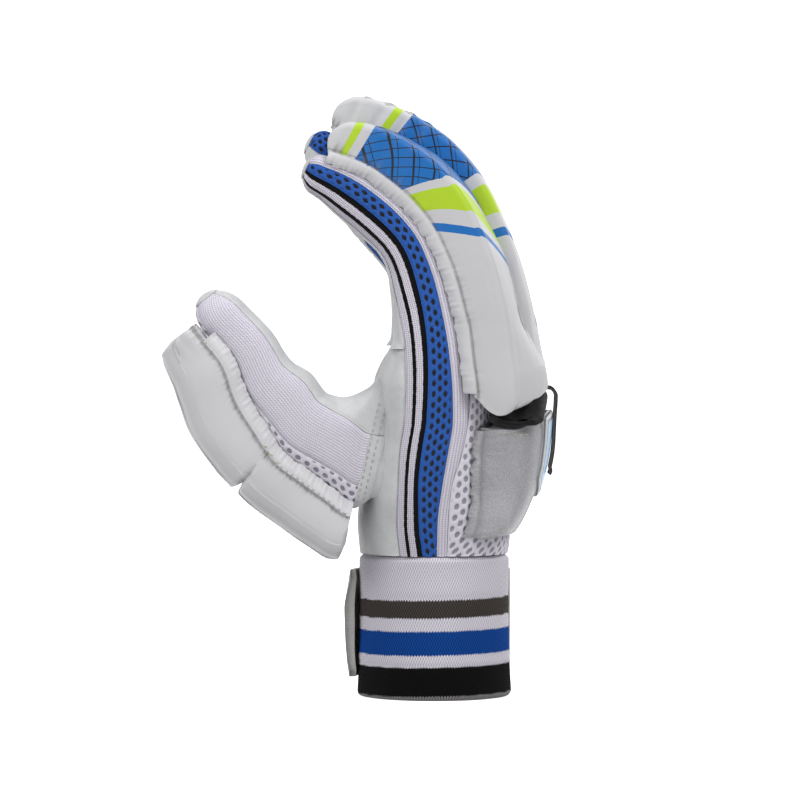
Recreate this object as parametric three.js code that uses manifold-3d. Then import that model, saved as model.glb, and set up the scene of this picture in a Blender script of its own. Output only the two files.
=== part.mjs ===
// Cricket batting glove for a right hand, standing upright on its knitted cuff.
// Palm faces -X, back of the hand +X, thumb and index side -Y, fingers point up along +Z.
// All lengths are millimetres. Tables hold shares of the named sizes that they follow.
import * as THREE from 'three';
import { mergeVertices } from 'three/addons/utils/BufferGeometryUtils.js';
import Module from 'manifold-3d';

const wasm = await Module();
wasm.setup();

// Driving sizes

const seam = { gap: 0.4, lift: 0.35 };
const cuff = { height: 61, depth: 66, width: 80, wall: 3.6, lowerEdge: 2.2, upperEdge: 0.6, waist: 0.5 };
const strap = { height: 46, thickness: 2.2, foot: 8, flare: 4.2 };
const palm = { length: 87, depth: 66, width: 108, wall: 1.6 };
const finger = { length: 99, depth: 27.7, gap: 2.2, wall: 1.4, tip: 8, rootRise: 1 };
const fingerPad = { height: 27, gap: 0.6, lowerEnd: 18, endBulge: 9, overhang: 2.8 };
const thumb = { reach: 76, rise: 112, width: 34, wall: 1.5, tip: 14 };
const thumbPad = { height: 26, width: 35, overhang: 6.6 };
const wristPad = { width: 92, height: 46, thickness: 22, foot: 8.1, archRise: 10 };
const badge = { width: 50, height: 30, thickness: 0.9 };
const hinge = { width: 88, depth: 23, thickness: 5.2 };
const tab = { width: 14, thickness: 1.5, length: 36, overhang: 6.5 };

const fingerPitch = palm.width / 4;
const fingerWidth = fingerPitch - finger.gap;
const fingerPadWidth = fingerPitch - fingerPad.gap;
const palmTop = cuff.height + seam.gap + palm.length;
const fingerRoot = palmTop + seam.gap + finger.rootRise;
const wristPadFoot = cuff.height + seam.gap + wristPad.foot;
const padLift = 2.7 * seam.lift;

// Sections of the hand from the wrist seam to the finger roots. rise is a share of the palm's
// length, the columns palm to back are shares of its depth, side is a share of its width.
const handRows = [
  { rise: 0.0, palm: -0.485, tape: -0.227, mesh: -0.080, knit: 0.014, flange: 0.080,
    back: 0.470, side: 0.352, arch: 0.0, round: 2.2 },
  { rise: 0.16, palm: -0.500, tape: -0.247, mesh: -0.106, knit: 0.018, flange: 0.088,
    back: 0.470, side: 0.389, arch: 0.0, round: 2.4 },
  { rise: 0.33, palm: -0.485, tape: -0.242, mesh: -0.109, knit: 0.045, flange: 0.106,
    back: 0.424, side: 0.426, arch: 0.015, round: 2.6 },
  { rise: 0.50, palm: -0.455, tape: -0.232, mesh: -0.089, knit: 0.083, flange: 0.173,
    back: 0.394, side: 0.454, arch: 0.030, round: 2.8 },
  { rise: 0.68, palm: -0.409, tape: -0.198, mesh: -0.053, knit: 0.118, flange: 0.215,
    back: 0.364, side: 0.472, arch: 0.045, round: 3.2 },
  { rise: 0.85, palm: -0.360, tape: -0.188, mesh: -0.036, knit: 0.124, flange: 0.233,
    back: 0.311, side: 0.490, arch: 0.061, round: 4.0 },
  { rise: 1.0, palm: -0.290, tape: -0.197, mesh: -0.039, knit: 0.106, flange: 0.198,
    back: 0.215, side: 0.500, arch: 0.068, round: 5.0 },
];

// Bend of a finger. along is a share of its length, depth a share of the finger's depth, and
// lead is the leather's extra fullness in front, as a share of that depth.
const fingerRows = [
  { along: 0.0, tilt: 0, depth: 1.0, lead: 0.2 },
  { along: 0.1, tilt: 13, depth: 0.95, lead: 0.13 },
  { along: 0.28, tilt: 15, depth: 0.93, lead: 0.03 },
  { along: 0.42, tilt: 24, depth: 0.86, lead: 0 },
  { along: 0.51, tilt: 38, depth: 0.86, lead: 0 },
  { along: 0.62, tilt: 48, depth: 0.88, lead: 0 },
  { along: 0.76, tilt: 54, depth: 0.86, lead: 0 },
  { along: 0.94, tilt: 66, depth: 0.66, lead: 0 },
];
const fingerRound = 3;
const fingerEdges = { tape: -0.94, mesh: -0.15, knit: 0.45, flange: 0.97 };

// The four fingers. place counts pitches from the hand's middle, rootX is a share of the palm's
// depth, length a share of the index finger's. near and far are the pad's heights at its two
// ridges and end its height at the tip, as shares of the pad's height.
const fingers = [
  { name: 'index', place: -1.5, rootX: 0.0, length: 1, curl: 1.0, near: 0.66, far: 0.97, end: 0.78 },
  { name: 'middle', place: -0.5, rootX: 0.075, length: 1.121, curl: 0.96, near: 0.88, far: 0.94, end: 0.86 },
  { name: 'ring', place: 0.5, rootX: 0.07, length: 1.03, curl: 1.04, near: 0.94, far: 0.88, end: 0.86 },
  { name: 'little', place: 1.5, rootX: -0.02, length: 0.82, curl: 0.86, near: 0.93, far: 0.64, end: 0.86 },
];

// Profile of a finger pad along the finger, heights and widths as shares of the full section.
// The two close triples of rows near the tip are the soft folds across it.
const padRows = [
  { along: 0.06, height: 1.0, width: 1.0 },
  { along: 0.2, height: 1.0, width: 1.0 },
  { along: 0.32, height: 1.0, width: 1.0 },
  { along: 0.43, height: 0.98, width: 0.99 },
  { along: 0.52, height: 1.0, width: 0.99 },
  { along: 0.61, height: 0.99, width: 0.98 },
  { along: 0.68, height: 0.95, width: 0.98 },
  { along: 0.705, height: 0.90, width: 0.97 },
  { along: 0.73, height: 0.91, width: 0.98 },
  { along: 0.79, height: 0.86, width: 0.97 },
  { along: 0.81, height: 0.82, width: 0.96 },
  { along: 0.83, height: 0.83, width: 0.96 },
  { along: 0.9, height: 0.72, width: 0.93 },
  { along: 0.94, height: 0.48, width: 0.82 },
];

// Sections of the thumb from inside the palm to its tip. front and back are points of the
// thumb's two outlines: x as shares of its reach from the palm's face, z as shares of its rise
// above the wrist seam. seam1 and seam2 part the near side into leather, knit and mesh.
const thumbRows = [
  { frontX: -0.26, frontZ: 0.66, backX: -0.08, backZ: 0.21, width: 0.76, lateral: -0.52,
    seam1: -0.10, seam2: 0.62 },
  { frontX: -0.14, frontZ: 0.69, backX: 0.03, backZ: 0.17, width: 0.90, lateral: -0.54,
    seam1: -0.15, seam2: 0.60 },
  { frontX: -0.06, frontZ: 0.64, backX: 0.18, backZ: 0.24, width: 0.98, lateral: -0.58,
    seam1: -0.35, seam2: 0.56 },
  { frontX: 0.06, frontZ: 0.605, backX: 0.31, backZ: 0.305, width: 0.97, lateral: -0.62,
    seam1: -0.62, seam2: 0.52 },
  { frontX: 0.16, frontZ: 0.62, backX: 0.435, backZ: 0.37, width: 0.94, lateral: -0.66,
    seam1: -0.72, seam2: 0.54 },
  { frontX: 0.255, frontZ: 0.695, backX: 0.555, backZ: 0.49, width: 0.91, lateral: -0.69,
    seam1: -0.74, seam2: 0.56 },
  { frontX: 0.365, frontZ: 0.745, backX: 0.655, backZ: 0.605, width: 0.88, lateral: -0.71,
    seam1: -0.74, seam2: 0.58 },
  { frontX: 0.47, frontZ: 0.85, backX: 0.725, backZ: 0.735, width: 0.85, lateral: -0.73,
    seam1: -0.74, seam2: 0.58 },
  { frontX: 0.62, frontZ: 0.96, backX: 0.845, backZ: 0.84, width: 0.80, lateral: -0.74,
    seam1: -0.74, seam2: 0.58 },
];

// The two thumb pads. from and to count along the thumb's rows. Each pair of their own rows is
// a share of the pad's length and a share of its height.
const thumbPads = [
  { name: 'thumb_pad_base', from: 1.0, to: 4.3,
    rows: [[0.0, 0.58], [0.07, 0.8], [0.15, 0.855], [0.3, 0.862], [0.55, 0.845], [0.8, 0.835],
      [0.94, 0.79], [1.0, 0.6]] },
  { name: 'thumb_pad_tip', from: 4.43, to: 8.55,
    rows: [[0.0, 0.62], [0.05, 0.85], [0.15, 0.94], [0.35, 0.95], [0.6, 0.952], [0.7, 0.905],
      [0.8, 0.845], [0.9, 0.765], [0.96, 0.69], [1.0, 0.5]] },
];

const colours = {
  leather: { color: 0xc6c8c8, roughness: 0.75, metalness: 0 },
  knit: { color: 0xd5d0de, roughness: 0.95, metalness: 0 },
  whitePad: { color: 0xe4e4e6, roughness: 0.5, metalness: 0 },
  blueMesh: { color: 0x1659b8, roughness: 0.9, metalness: 0 },
  silver: { color: 0xa7a7aa, roughness: 0.4, metalness: 0.3 },
  black: { color: 0x101012, roughness: 0.85, metalness: 0 },
  darkTab: { color: 0x4a4645, roughness: 0.8, metalness: 0 },
  strapBand: { color: 0xc9c8c4, roughness: 0.8, metalness: 0 },
  badgeBlue: { color: 0x7fb2dd, roughness: 0.5, metalness: 0 },
};

// Mesh building

const lerp = (a, b, t) => a + (b - a) * t;

// The row of a table at a fractional index, with every numeric column blended.
function rowAt(rows, index) {
  const low = Math.min(Math.floor(index), rows.length - 2);
  const blend = index - low;
  const row = {};
  for (const key of Object.keys(rows[low])) {
    row[key] = lerp(rows[low][key], rows[low + 1][key], blend);
  }
  return row;
}

// Fractional index of a value in an increasing column of a table.
function indexOf(rows, key, value) {
  let low = 0;
  while (low < rows.length - 2 && rows[low + 1][key] < value) low += 1;
  return low + (value - rows[low][key]) / (rows[low + 1][key] - rows[low][key]);
}

// Geometry from points and triangles, turned so that its faces point out.
function solid(points, triangles) {
  let volume = 0;
  const side = new THREE.Vector3();
  for (const [a, b, c] of triangles) {
    volume += side.crossVectors(points[b], points[c]).dot(points[a]);
  }
  const index = triangles.flatMap(([a, b, c]) => (volume > 0 ? [a, b, c] : [a, c, b]));
  const geometry = new THREE.BufferGeometry();
  geometry.setAttribute('position', new THREE.Float32BufferAttribute(
    points.flatMap((p) => [p.x, p.y, p.z]), 3));
  geometry.setIndex(index);
  return geometry;
}

// Closed wall between an outer and an inner grid of points with the same rows and columns.
// With wrap set, the columns close on themselves, and only the two ends get a rim.
function slab(outer, inner, wrap = false) {
  const rows = outer.length;
  const columns = outer[0].length;
  const points = [...outer.flat(), ...inner.flat()];
  const o = (i, j) => i * columns + (j % columns);
  const n = (i, j) => rows * columns + o(i, j);
  const triangles = [];
  const quad = (a, b, c, d) => triangles.push([a, b, c], [a, c, d]);
  const last = wrap ? columns : columns - 1;
  for (let i = 0; i < rows - 1; i += 1) {
    for (let j = 0; j < last; j += 1) {
      quad(o(i, j), o(i, j + 1), o(i + 1, j + 1), o(i + 1, j));
      quad(n(i, j), n(i + 1, j), n(i + 1, j + 1), n(i, j + 1));
    }
    if (!wrap) {
      quad(o(i, 0), o(i + 1, 0), n(i + 1, 0), n(i, 0));
      quad(o(i, last), n(i, last), n(i + 1, last), o(i + 1, last));
    }
  }
  for (let j = 0; j < last; j += 1) {
    quad(o(0, j), n(0, j), n(0, j + 1), o(0, j + 1));
    quad(o(rows - 1, j), o(rows - 1, j + 1), n(rows - 1, j + 1), n(rows - 1, j));
  }
  return solid(points, triangles);
}

// Solid lofted through closed rings of points. Each end is closed by a fan of triangles, or on
// a crescent, whose second half of points runs back along the first, by a strip between the two.
function loft(rings, crescent = false) {
  const count = rings[0].length;
  const points = rings.flat();
  const triangles = [];
  for (let i = 0; i < rings.length - 1; i += 1) {
    for (let j = 0; j < count; j += 1) {
      const a = i * count + j;
      const b = i * count + ((j + 1) % count);
      triangles.push([a, b, b + count], [a, b + count, a + count]);
    }
  }
  for (const [ring, first, turn] of [[rings[0], 0, 1], [rings.at(-1), points.length - count, 0]]) {
    if (crescent) {
      for (let j = 0; j < count / 2 - 1; j += 1) {
        const [a, b, c, d] = [j, j + 1, count - 2 - j, count - 1 - j].map((k) => first + k);
        triangles.push(turn ? [a, c, b] : [a, b, c], turn ? [a, d, c] : [a, c, d]);
      }
      continue;
    }
    const centre = ring.reduce((sum, p) => sum.add(p), new THREE.Vector3()).divideScalar(count);
    const middle = points.push(centre) - 1;
    for (let j = 0; j < count; j += 1) {
      const edge = [first + j, first + ((j + 1) % count)];
      triangles.push(turn ? [middle, edge[1], edge[0]] : [middle, edge[0], edge[1]]);
    }
  }
  return solid(points, triangles);
}

function toManifold(geometry) {
  const merged = mergeVertices(geometry.clone(), 1e-4);
  return new wasm.Manifold(new wasm.Mesh({
    numProp: 3,
    vertProperties: new Float32Array(merged.attributes.position.array),
    triVerts: new Uint32Array(merged.index.array),
  }));
}

function fromManifold(manifold) {
  const mesh = manifold.getMesh();
  const geometry = new THREE.BufferGeometry();
  geometry.setAttribute('position', new THREE.Float32BufferAttribute(mesh.vertProperties, 3));
  geometry.setIndex(Array.from(mesh.triVerts));
  return geometry;
}

// Sections. A station has a centre, a dorsal direction in the XZ plane, a depth along it, a
// width along Y, a roundness and an arch that lifts its middle.

function stationPoint(station, across, lateral) {
  return new THREE.Vector3(
    station.centre.x + station.dorsal.x * across,
    station.centre.y + lateral,
    station.centre.z + station.dorsal.z * across,
  );
}

// Point on a station's outline. Angle 0 is dorsal, a quarter turn the near side, half the palm.
function outlinePoint(station, angle, inset = 0) {
  const power = 2 / station.round;
  const c = Math.cos(angle);
  const s = Math.sin(angle);
  const lateral = -Math.sign(s) * Math.abs(s) ** power * (station.width / 2 - inset);
  const share = Math.min(1, Math.abs((2 * lateral) / station.width));
  const across = Math.sign(c) * Math.abs(c) ** power * (station.depth / 2 - inset)
    + station.arch * (1 - share * share);
  return stationPoint(station, across, lateral);
}

// Angle on the near side where the outline passes a share of the half depth, -1 palm to 1 back.
function angleAt(station, share) {
  const limited = Math.max(-1, Math.min(1, share));
  return Math.acos(Math.sign(limited) * Math.abs(limited) ** (station.round / 2));
}

// Height of the dorsal surface over a station's centre at a lateral place.
function roofHeight(station, lateral) {
  const share = Math.min(0.999, Math.abs((2 * lateral) / station.width));
  return (station.depth / 2) * (1 - share ** station.round) ** (1 / station.round)
    + station.arch * (1 - share * share);
}

// Both ends of a line of points are pulled in along it, which leaves the seam gap.
function trimmed(line, amount) {
  const pull = (end, next) => end.clone().add(next.clone().sub(end).setLength(amount));
  const first = pull(line[0], line[1]);
  const last = pull(line.at(-1), line.at(-2));
  return [first, ...line.slice(1, -1), last];
}

// Panel of cloth or leather that covers the outline from one angle to another.
function panel(stations, fromAngle, toAngle, steps, wall) {
  const line = (station, inset) => {
    const points = [];
    const start = fromAngle(station);
    const end = toAngle(station);
    for (let j = 0; j <= steps; j += 1) {
      points.push(outlinePoint(station, lerp(start, end, j / steps), inset));
    }
    return trimmed(points, seam.gap / 2);
  };
  return slab(stations.map((s) => line(s, 0)), stations.map((s) => line(s, wall)));
}

// Leather cap over the end of a finger: rings that shrink along the spine, closed at the end.
function tipCap(station, wall, length, steps = 12) {
  const forward = new THREE.Vector3(-station.dorsal.z, 0, station.dorsal.x);
  if (station.forward) forward.copy(station.forward);
  const ring = (share, inset) => {
    const turn = (share * Math.PI) / 2;
    const size = Math.cos(turn);
    const ahead = seam.gap + Math.sin(turn) * (length - inset);
    const shrunk = { ...station, depth: (station.depth - 2 * inset) * size,
      width: (station.width - 2 * inset) * size, arch: 0 };
    return Array.from({ length: steps }, (_, j) => outlinePoint(shrunk, (j / steps) * 2 * Math.PI)
      .addScaledVector(forward, ahead));
  };
  const shares = [0, 0.35, 0.62, 0.82];
  const outer = shares.map((share) => ring(share, 0));
  const inner = shares.map((share) => ring(share, wall));
  const points = [...outer.flat(), ...inner.flat()];
  const pole = (inset) => points.push(stationPoint(station, 0, 0)
    .addScaledVector(forward, seam.gap + length - inset)) - 1;
  const outerPole = pole(0);
  const innerPole = pole(wall);
  const at = (layer, i, j) => (layer * shares.length + i) * steps + (j % steps);
  const triangles = [];
  for (let j = 0; j < steps; j += 1) {
    for (let i = 0; i < shares.length - 1; i += 1) {
      triangles.push([at(0, i, j), at(0, i + 1, j + 1), at(0, i, j + 1)]);
      triangles.push([at(0, i, j), at(0, i + 1, j), at(0, i + 1, j + 1)]);
      triangles.push([at(1, i, j), at(1, i, j + 1), at(1, i + 1, j + 1)]);
      triangles.push([at(1, i, j), at(1, i + 1, j + 1), at(1, i + 1, j)]);
    }
    const end = shares.length - 1;
    triangles.push([at(0, end, j), outerPole, at(0, end, j + 1)]);
    triangles.push([at(1, end, j), at(1, end, j + 1), innerPole]);
    triangles.push([at(0, 0, j), at(0, 0, j + 1), at(1, 0, j + 1)]);
    triangles.push([at(0, 0, j), at(1, 0, j + 1), at(1, 0, j)]);
  }
  return solid(points, triangles);
}

// Stations of the hand, the fingers and the thumb

function handStation(row) {
  const middle = (row.palm + row.back) / 2;
  const half = (row.back - row.palm) / 2;
  const edge = (x) => (x - middle) / half;
  return {
    centre: new THREE.Vector3(middle * palm.depth, 0, cuff.height + seam.gap + row.rise * palm.length),
    dorsal: new THREE.Vector3(1, 0, 0),
    depth: 2 * half * palm.depth,
    width: 2 * row.side * palm.width,
    arch: row.arch * palm.depth,
    round: row.round,
    tape: edge(row.tape),
    mesh: edge(row.mesh),
    knit: edge(row.knit),
    flange: edge(row.flange),
  };
}

function fingerStation(digit, along) {
  const table = fingerRows;
  let x = digit.rootX * palm.depth;
  let z = fingerRoot;
  const reach = digit.length * finger.length * along;
  const steps = Math.max(1, Math.round(Math.abs(along) * 60));
  const tiltAt = (share) => rowAt(table, Math.max(0, indexOf(table, 'along', share))).tilt * digit.curl;
  for (let i = 0; i < steps; i += 1) {
    const tilt = THREE.MathUtils.degToRad(tiltAt(((i + 0.5) / steps) * along));
    x -= Math.sin(tilt) * reach / steps;
    z += Math.cos(tilt) * reach / steps;
  }
  const row = rowAt(table, Math.max(0, indexOf(table, 'along', along)));
  const tilt = THREE.MathUtils.degToRad(row.tilt * digit.curl);
  const dorsal = new THREE.Vector3(Math.cos(tilt), 0, Math.sin(tilt));
  const lead = row.lead * finger.depth;
  const half = (row.depth * finger.depth) / 2;
  const edge = (name) => (fingerEdges[name] * half + lead / 2) / (half + lead / 2);
  return {
    centre: new THREE.Vector3(x, digit.place * fingerPitch, z).addScaledVector(dorsal, -lead / 2),
    dorsal,
    depth: 2 * half + lead,
    width: fingerWidth,
    arch: 0,
    round: fingerRound,
    tape: edge('tape'),
    mesh: edge('mesh'),
    knit: edge('knit'),
    flange: edge('flange'),
  };
}

function thumbStation(index) {
  const row = rowAt(thumbRows, index);
  const face = -palm.depth / 2;
  const base = cuff.height + seam.gap;
  const front = new THREE.Vector3(face - row.frontX * thumb.reach, 0, base + row.frontZ * thumb.rise);
  const back = new THREE.Vector3(face - row.backX * thumb.reach, 0, base + row.backZ * thumb.rise);
  const centre = front.clone().add(back).multiplyScalar(0.5);
  centre.y = (row.lateral * palm.width) / 2;
  return {
    centre,
    dorsal: back.clone().sub(front).normalize(),
    depth: front.distanceTo(back),
    width: row.width * thumb.width,
    arch: 0,
    round: 2.6,
    seam1: row.seam1,
    seam2: row.seam2,
    flange: 0.97,
  };
}

const handStations = handRows.map(handStation);
const nearAngle = (edge) => (station) => angleAt(station, station[edge]);
const farAngle = (edge) => (station) => 2 * Math.PI - angleAt(station, station[edge]);

// Cuff, strap and palm

function cuffOutline(z, inset, sides = 28) {
  const swell = 1 - 0.03 * (z / cuff.height);
  return Array.from({ length: sides }, (_, j) => {
    const angle = (j / sides) * 2 * Math.PI;
    return new THREE.Vector3(
      Math.cos(angle) * (cuff.depth / 2 * swell - inset),
      Math.sin(angle) * (cuff.width / 2 * swell - inset),
      z,
    );
  });
}

function cuffBand() {
  const edge = cuff.lowerEdge;
  const levels = [
    { z: 0, inset: edge * 0.55 },
    { z: edge * 0.4, inset: edge * 0.12 },
    { z: edge, inset: 0 },
    { z: cuff.height * 0.5, inset: cuff.waist },
    { z: cuff.height * 0.94, inset: 0 },
    { z: cuff.height, inset: cuff.upperEdge },
  ];
  return slab(
    levels.map(({ z, inset }) => cuffOutline(z, inset)),
    levels.map(({ z }) => cuffOutline(z, cuff.wall)),
    true,
  );
}

// Band of hook-and-loop tape round the far side, its palm end standing off the cuff.
function wristStrap() {
  const columns = 14;
  const start = 0.12 * Math.PI;
  const end = 1.06 * Math.PI;
  const rows = [[0, 0.4], [0.12, 0.6], [0.66, 1], [0.9, 0.45], [1, 0.2]];
  const grid = (offset) => rows.map(([rise, stand]) => {
    const line = [];
    for (let j = 0; j <= columns; j += 1) {
      const share = j / columns;
      const angle = lerp(start, end, share);
      const flare = strap.flare * stand * Math.max(0, (share - 0.7) / 0.3) ** 2;
      const out = seam.lift + offset + flare;
      line.push(new THREE.Vector3(
        Math.cos(angle) * (cuff.depth / 2 + out),
        Math.sin(angle) * (cuff.width / 2 + out),
        strap.foot + rise * strap.height,
      ));
    }
    return line;
  });
  return slab(grid(strap.thickness), grid(0));
}

// Volume that the thumb takes at its root, a little larger than the thumb itself.
function thumbRootVolume() {
  const rings = [0, 1, 2, 3].map((index) => {
    const station = thumbStation(index);
    const grown = { ...station, depth: station.depth + 2 * seam.lift, width: station.width + 2 * seam.lift };
    return Array.from({ length: 20 }, (_, j) => outlinePoint(grown, (j / 20) * 2 * Math.PI));
  });
  const inward = rings[0].map((p) => p.clone().add(new THREE.Vector3(palm.depth * 0.1, 0, 0)));
  return toManifold(loft([inward, ...rings]));
}

function palmLeather() {
  const shell = panel(handStations, nearAngle('tape'), farAngle('tape'), 16, palm.wall);
  return fromManifold(toManifold(shell).subtract(thumbRootVolume()));
}

function backMesh() {
  return panel(handStations, farAngle('flange'), (s) => 2 * Math.PI + angleAt(s, s.flange), 12, palm.wall);
}

// Fingers

const fingerShares = fingerRows.map((row) => row.along);

function fingerPieces(digit) {
  const stations = fingerShares.map((along) => fingerStation(digit, along));
  const pieces = {
    front: panel(stations, nearAngle('tape'), farAngle('tape'), 6, finger.wall),
    tip: tipCap(stations.at(-1), finger.wall, finger.tip),
    pad: fingerPadSolid(digit),
  };
  if (digit.name !== 'index') {
    pieces.near_gusset = panel(stations, nearAngle('flange'), nearAngle('tape'), 3, finger.wall);
  }
  if (digit.name !== 'little') {
    pieces.far_gusset = panel(stations, farAngle('tape'), farAngle('flange'), 3, finger.wall);
  }
  return pieces;
}

// Strip that runs from the wrist seam up the hand's side and the outer side of a finger.
function sideStrip(digit, edgeA, edgeB) {
  const stations = [...handStations, ...fingerShares.map((along) => fingerStation(digit, along))];
  const angle = digit.name === 'index' ? nearAngle : farAngle;
  return panel(stations, angle(edgeA), angle(edgeB), 2, palm.wall);
}

// Section of a finger pad: flat or following base, stitched lips along both edges, two side
// faces, two ridges and a sloped top.
function padRing({ station, base, near, far, width, push, raise = () => 0 }) {
  const half = width / 2;
  const forward = new THREE.Vector3(-station.dorsal.z, 0, station.dorsal.x);
  const outline = [
    [-1.0, 0.0], [-0.36, 0.0], [0.36, 0.0], [1.0, 0.0], [0.99, 0.05], [0.9, 0.1],
    [0.97, 0.45], [0.95, 0.86], [0.82, 1.0],
    [0.28, 1.0], [-0.28, 1.0],
    [-0.82, 1.0], [-0.95, 0.86], [-0.97, 0.45], [-0.9, 0.1], [-0.99, 0.05],
  ];
  return outline.map(([side, rise]) => {
    const lateral = side * half;
    const crown = lerp(near, far, (side + 0.82) / 1.64) * (1 + 0.04 * (1 - side * side));
    const height = base(lateral) + rise * crown;
    const bulge = push * Math.sin(0.5 * Math.PI * Math.min(1, rise / 0.8));
    return stationPoint(station, height, lateral).addScaledVector(forward, raise(lateral) - bulge);
  });
}

function fingerPadSolid(digit) {
  const rings = [];
  const middle = digit.place * fingerPitch;
  const lower = wristPadTop(middle) + fingerPad.lowerEnd;
  for (const [share, size] of [[0, 0.78], [0.12, 0.95], [0.5, 1.02]]) {
    const z = lerp(lower, palmTop, share);
    const rise = (z - cuff.height - seam.gap) / palm.length;
    const hand = handStation(rowAt(handRows, indexOf(handRows, 'rise', rise)));
    const edge = hand.flange * hand.depth / 2;
    const station = { ...hand, centre: new THREE.Vector3(hand.centre.x, middle, z) };
    const base = (lateral) => Math.max(edge, roofHeight(hand, lateral + middle)) + padLift;
    const raise = (lateral) => (wristPadTop(lateral + middle) - wristPadTop(middle)) * (1 - share);
    rings.push(padRing({
      station, base, raise, push: fingerPad.endBulge * (1 - share * 1.6),
      near: digit.near * fingerPad.height * size,
      far: digit.far * fingerPad.height * size,
      width: fingerPadWidth * lerp(0.94, 1, Math.min(1, share * 4)),
    }));
  }
  for (const row of padRows) {
    const station = fingerStation(digit, row.along);
    const base = () => station.depth / 2 + seam.lift;
    const end = fingerPad.overhang * Math.max(0, (row.along - 0.8) / (padRows.at(-1).along - 0.8));
    rings.push(padRing({
      station, base, push: -end,
      near: lerp(digit.near, digit.end, row.along) * fingerPad.height * row.height,
      far: lerp(digit.far, digit.end, row.along) * fingerPad.height * row.height,
      width: fingerPadWidth * row.width,
    }));
  }
  return loft(rings);
}

// Thumb

const thumbStations = thumbRows.map((_, index) => thumbStation(index));

function thumbTipStation() {
  const station = thumbStations.at(-1);
  const forward = station.centre.clone().sub(thumbStations.at(-2).centre);
  forward.y = 0;
  return { ...station, forward: forward.normalize() };
}

function thumbPadSolid({ from, to, rows }) {
  const last = thumbRows.length - 1;
  const rings = rows.map(([share, size]) => {
    const station = thumbStation(Math.min(last, lerp(from, to, share)));
    const over = Math.max(0, (lerp(from, to, share) - last) / (thumbPads.at(-1).to - last));
    station.centre.addScaledVector(thumbTipStation().forward, over * thumbPad.overhang);
    const narrowing = Math.min(1, station.width / thumb.width + 0.1);
    const half = (thumbPad.width / 2) * lerp(0.86, 1, size) * narrowing;
    const height = thumbPad.height * size;
    const base = station.depth / 2 + seam.lift;
    const outline = [
      [-1, 0], [0, 0], [1, 0], [1.04, 0.45], [0.9, 0.86], [0.62, 1], [0, 1.06], [-0.62, 1],
      [-0.9, 0.82], [-1.04, 0.4],
    ];
    return outline.map(([side, rise]) => stationPoint(station, base + rise * height, side * half));
  });
  return loft(rings);
}

// Wrist pad, hinge and tab

function wristPadTop(lateral) {
  const share = (2 * lateral) / wristPad.width;
  return wristPadFoot + wristPad.height + wristPad.archRise * (1 - share * share);
}

// Outer face of the wrist pad over its height share and lateral place.
function wristPadFace(rise, lateral) {
  const share = (2 * lateral) / wristPad.width;
  const swell = 1 - (1 - rise) ** 2.6;
  const ridge = palm.depth * lerp(0.157, 0.266, swell) + wristPad.thickness * lerp(0.78, 1, swell);
  return ridge + palm.depth * 0.15 * (1 - share * share) * lerp(0.72, 1, Math.sqrt(rise));
}

function wristPadSolid() {
  const laterals = [-1, -0.88, -0.72, -0.5, -0.25, 0, 0.25, 0.5, 0.72, 0.88, 1];
  const rings = [[0, 0.55], [0.05, 0.86], [0.16, 1], [0.4, 1], [0.64, 1], [0.86, 1], [0.96, 0.93], [1, 0.6]]
    .map(([rise, size]) => {
      const under = laterals.map((share) => {
        const lateral = (share * wristPad.width * lerp(0.84, 1, rise)) / 2;
        const z = lerp(wristPadFoot, wristPadTop(lateral), rise);
        const hand = handStation(rowAt(handRows,
          indexOf(handRows, 'rise', (z - cuff.height - seam.gap) / palm.length)));
        const edge = (hand.flange * hand.depth) / 2 + palm.depth * 0.07;
        const x = hand.centre.x + Math.max(edge, roofHeight(hand, lateral)) + padLift;
        return new THREE.Vector3(x, lateral, z);
      });
      const over = laterals.map((share, k) => {
        const lateral = under[k].y * lerp(0.86, 0.96, size);
        const z = lerp(wristPadFoot, wristPadTop(lateral), rise);
        const top = wristPadFace(rise, lateral);
        const x = under[k].x + (top - under[k].x) * size;
        return new THREE.Vector3(x, lateral, z);
      });
      return [...under, ...over.reverse()];
    });
  return loft(rings, true);
}

function badgePlate() {
  const grid = (lift) => [0, 0.2, 0.5, 0.8, 1].map((v) => {
    const line = [];
    for (let j = 0; j <= 8; j += 1) {
      const share = lerp(-1, 1, j / 8);
      const taper = v < 0.2 ? 0.55 : 1;
      const lateral = (share * badge.width * taper) / 2;
      const rise = 0.3 + v * (badge.height / wristPad.height);
      const z = lerp(wristPadFoot, wristPadTop(lateral), rise);
      line.push(new THREE.Vector3(wristPadFace(rise, lateral) + lift, lateral, z));
    }
    return line;
  });
  return slab(grid(2 * seam.lift + badge.thickness), grid(2 * seam.lift));
}

// Folded cloth between the wrist pad and the lower ends of the finger pads.
function hingeGusset() {
  const rings = [-1, -0.7, -0.35, 0, 0.35, 0.7, 1].map((share) => {
    const lateral = (share * hinge.width) / 2;
    const low = wristPadTop(lateral) + seam.lift;
    const root = palm.depth * (0.35 + 0.04 * (1 - share * share));
    const half = hinge.thickness / 2;
    const profile = [
      [0.02, 0.5], [0.3, 0.05], [0.62, 0.05], [0.9, 0.35], [1.0, 1.1], [0.9, 1.75],
      [0.62, 1.3], [0.4, 1.15], [0.16, 1.5], [0.04, 1.6],
    ];
    return profile.map(([out, up]) => new THREE.Vector3(
      root + out * hinge.depth, lateral, low + up * half + seam.lift));
  });
  return loft(rings);
}

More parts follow.
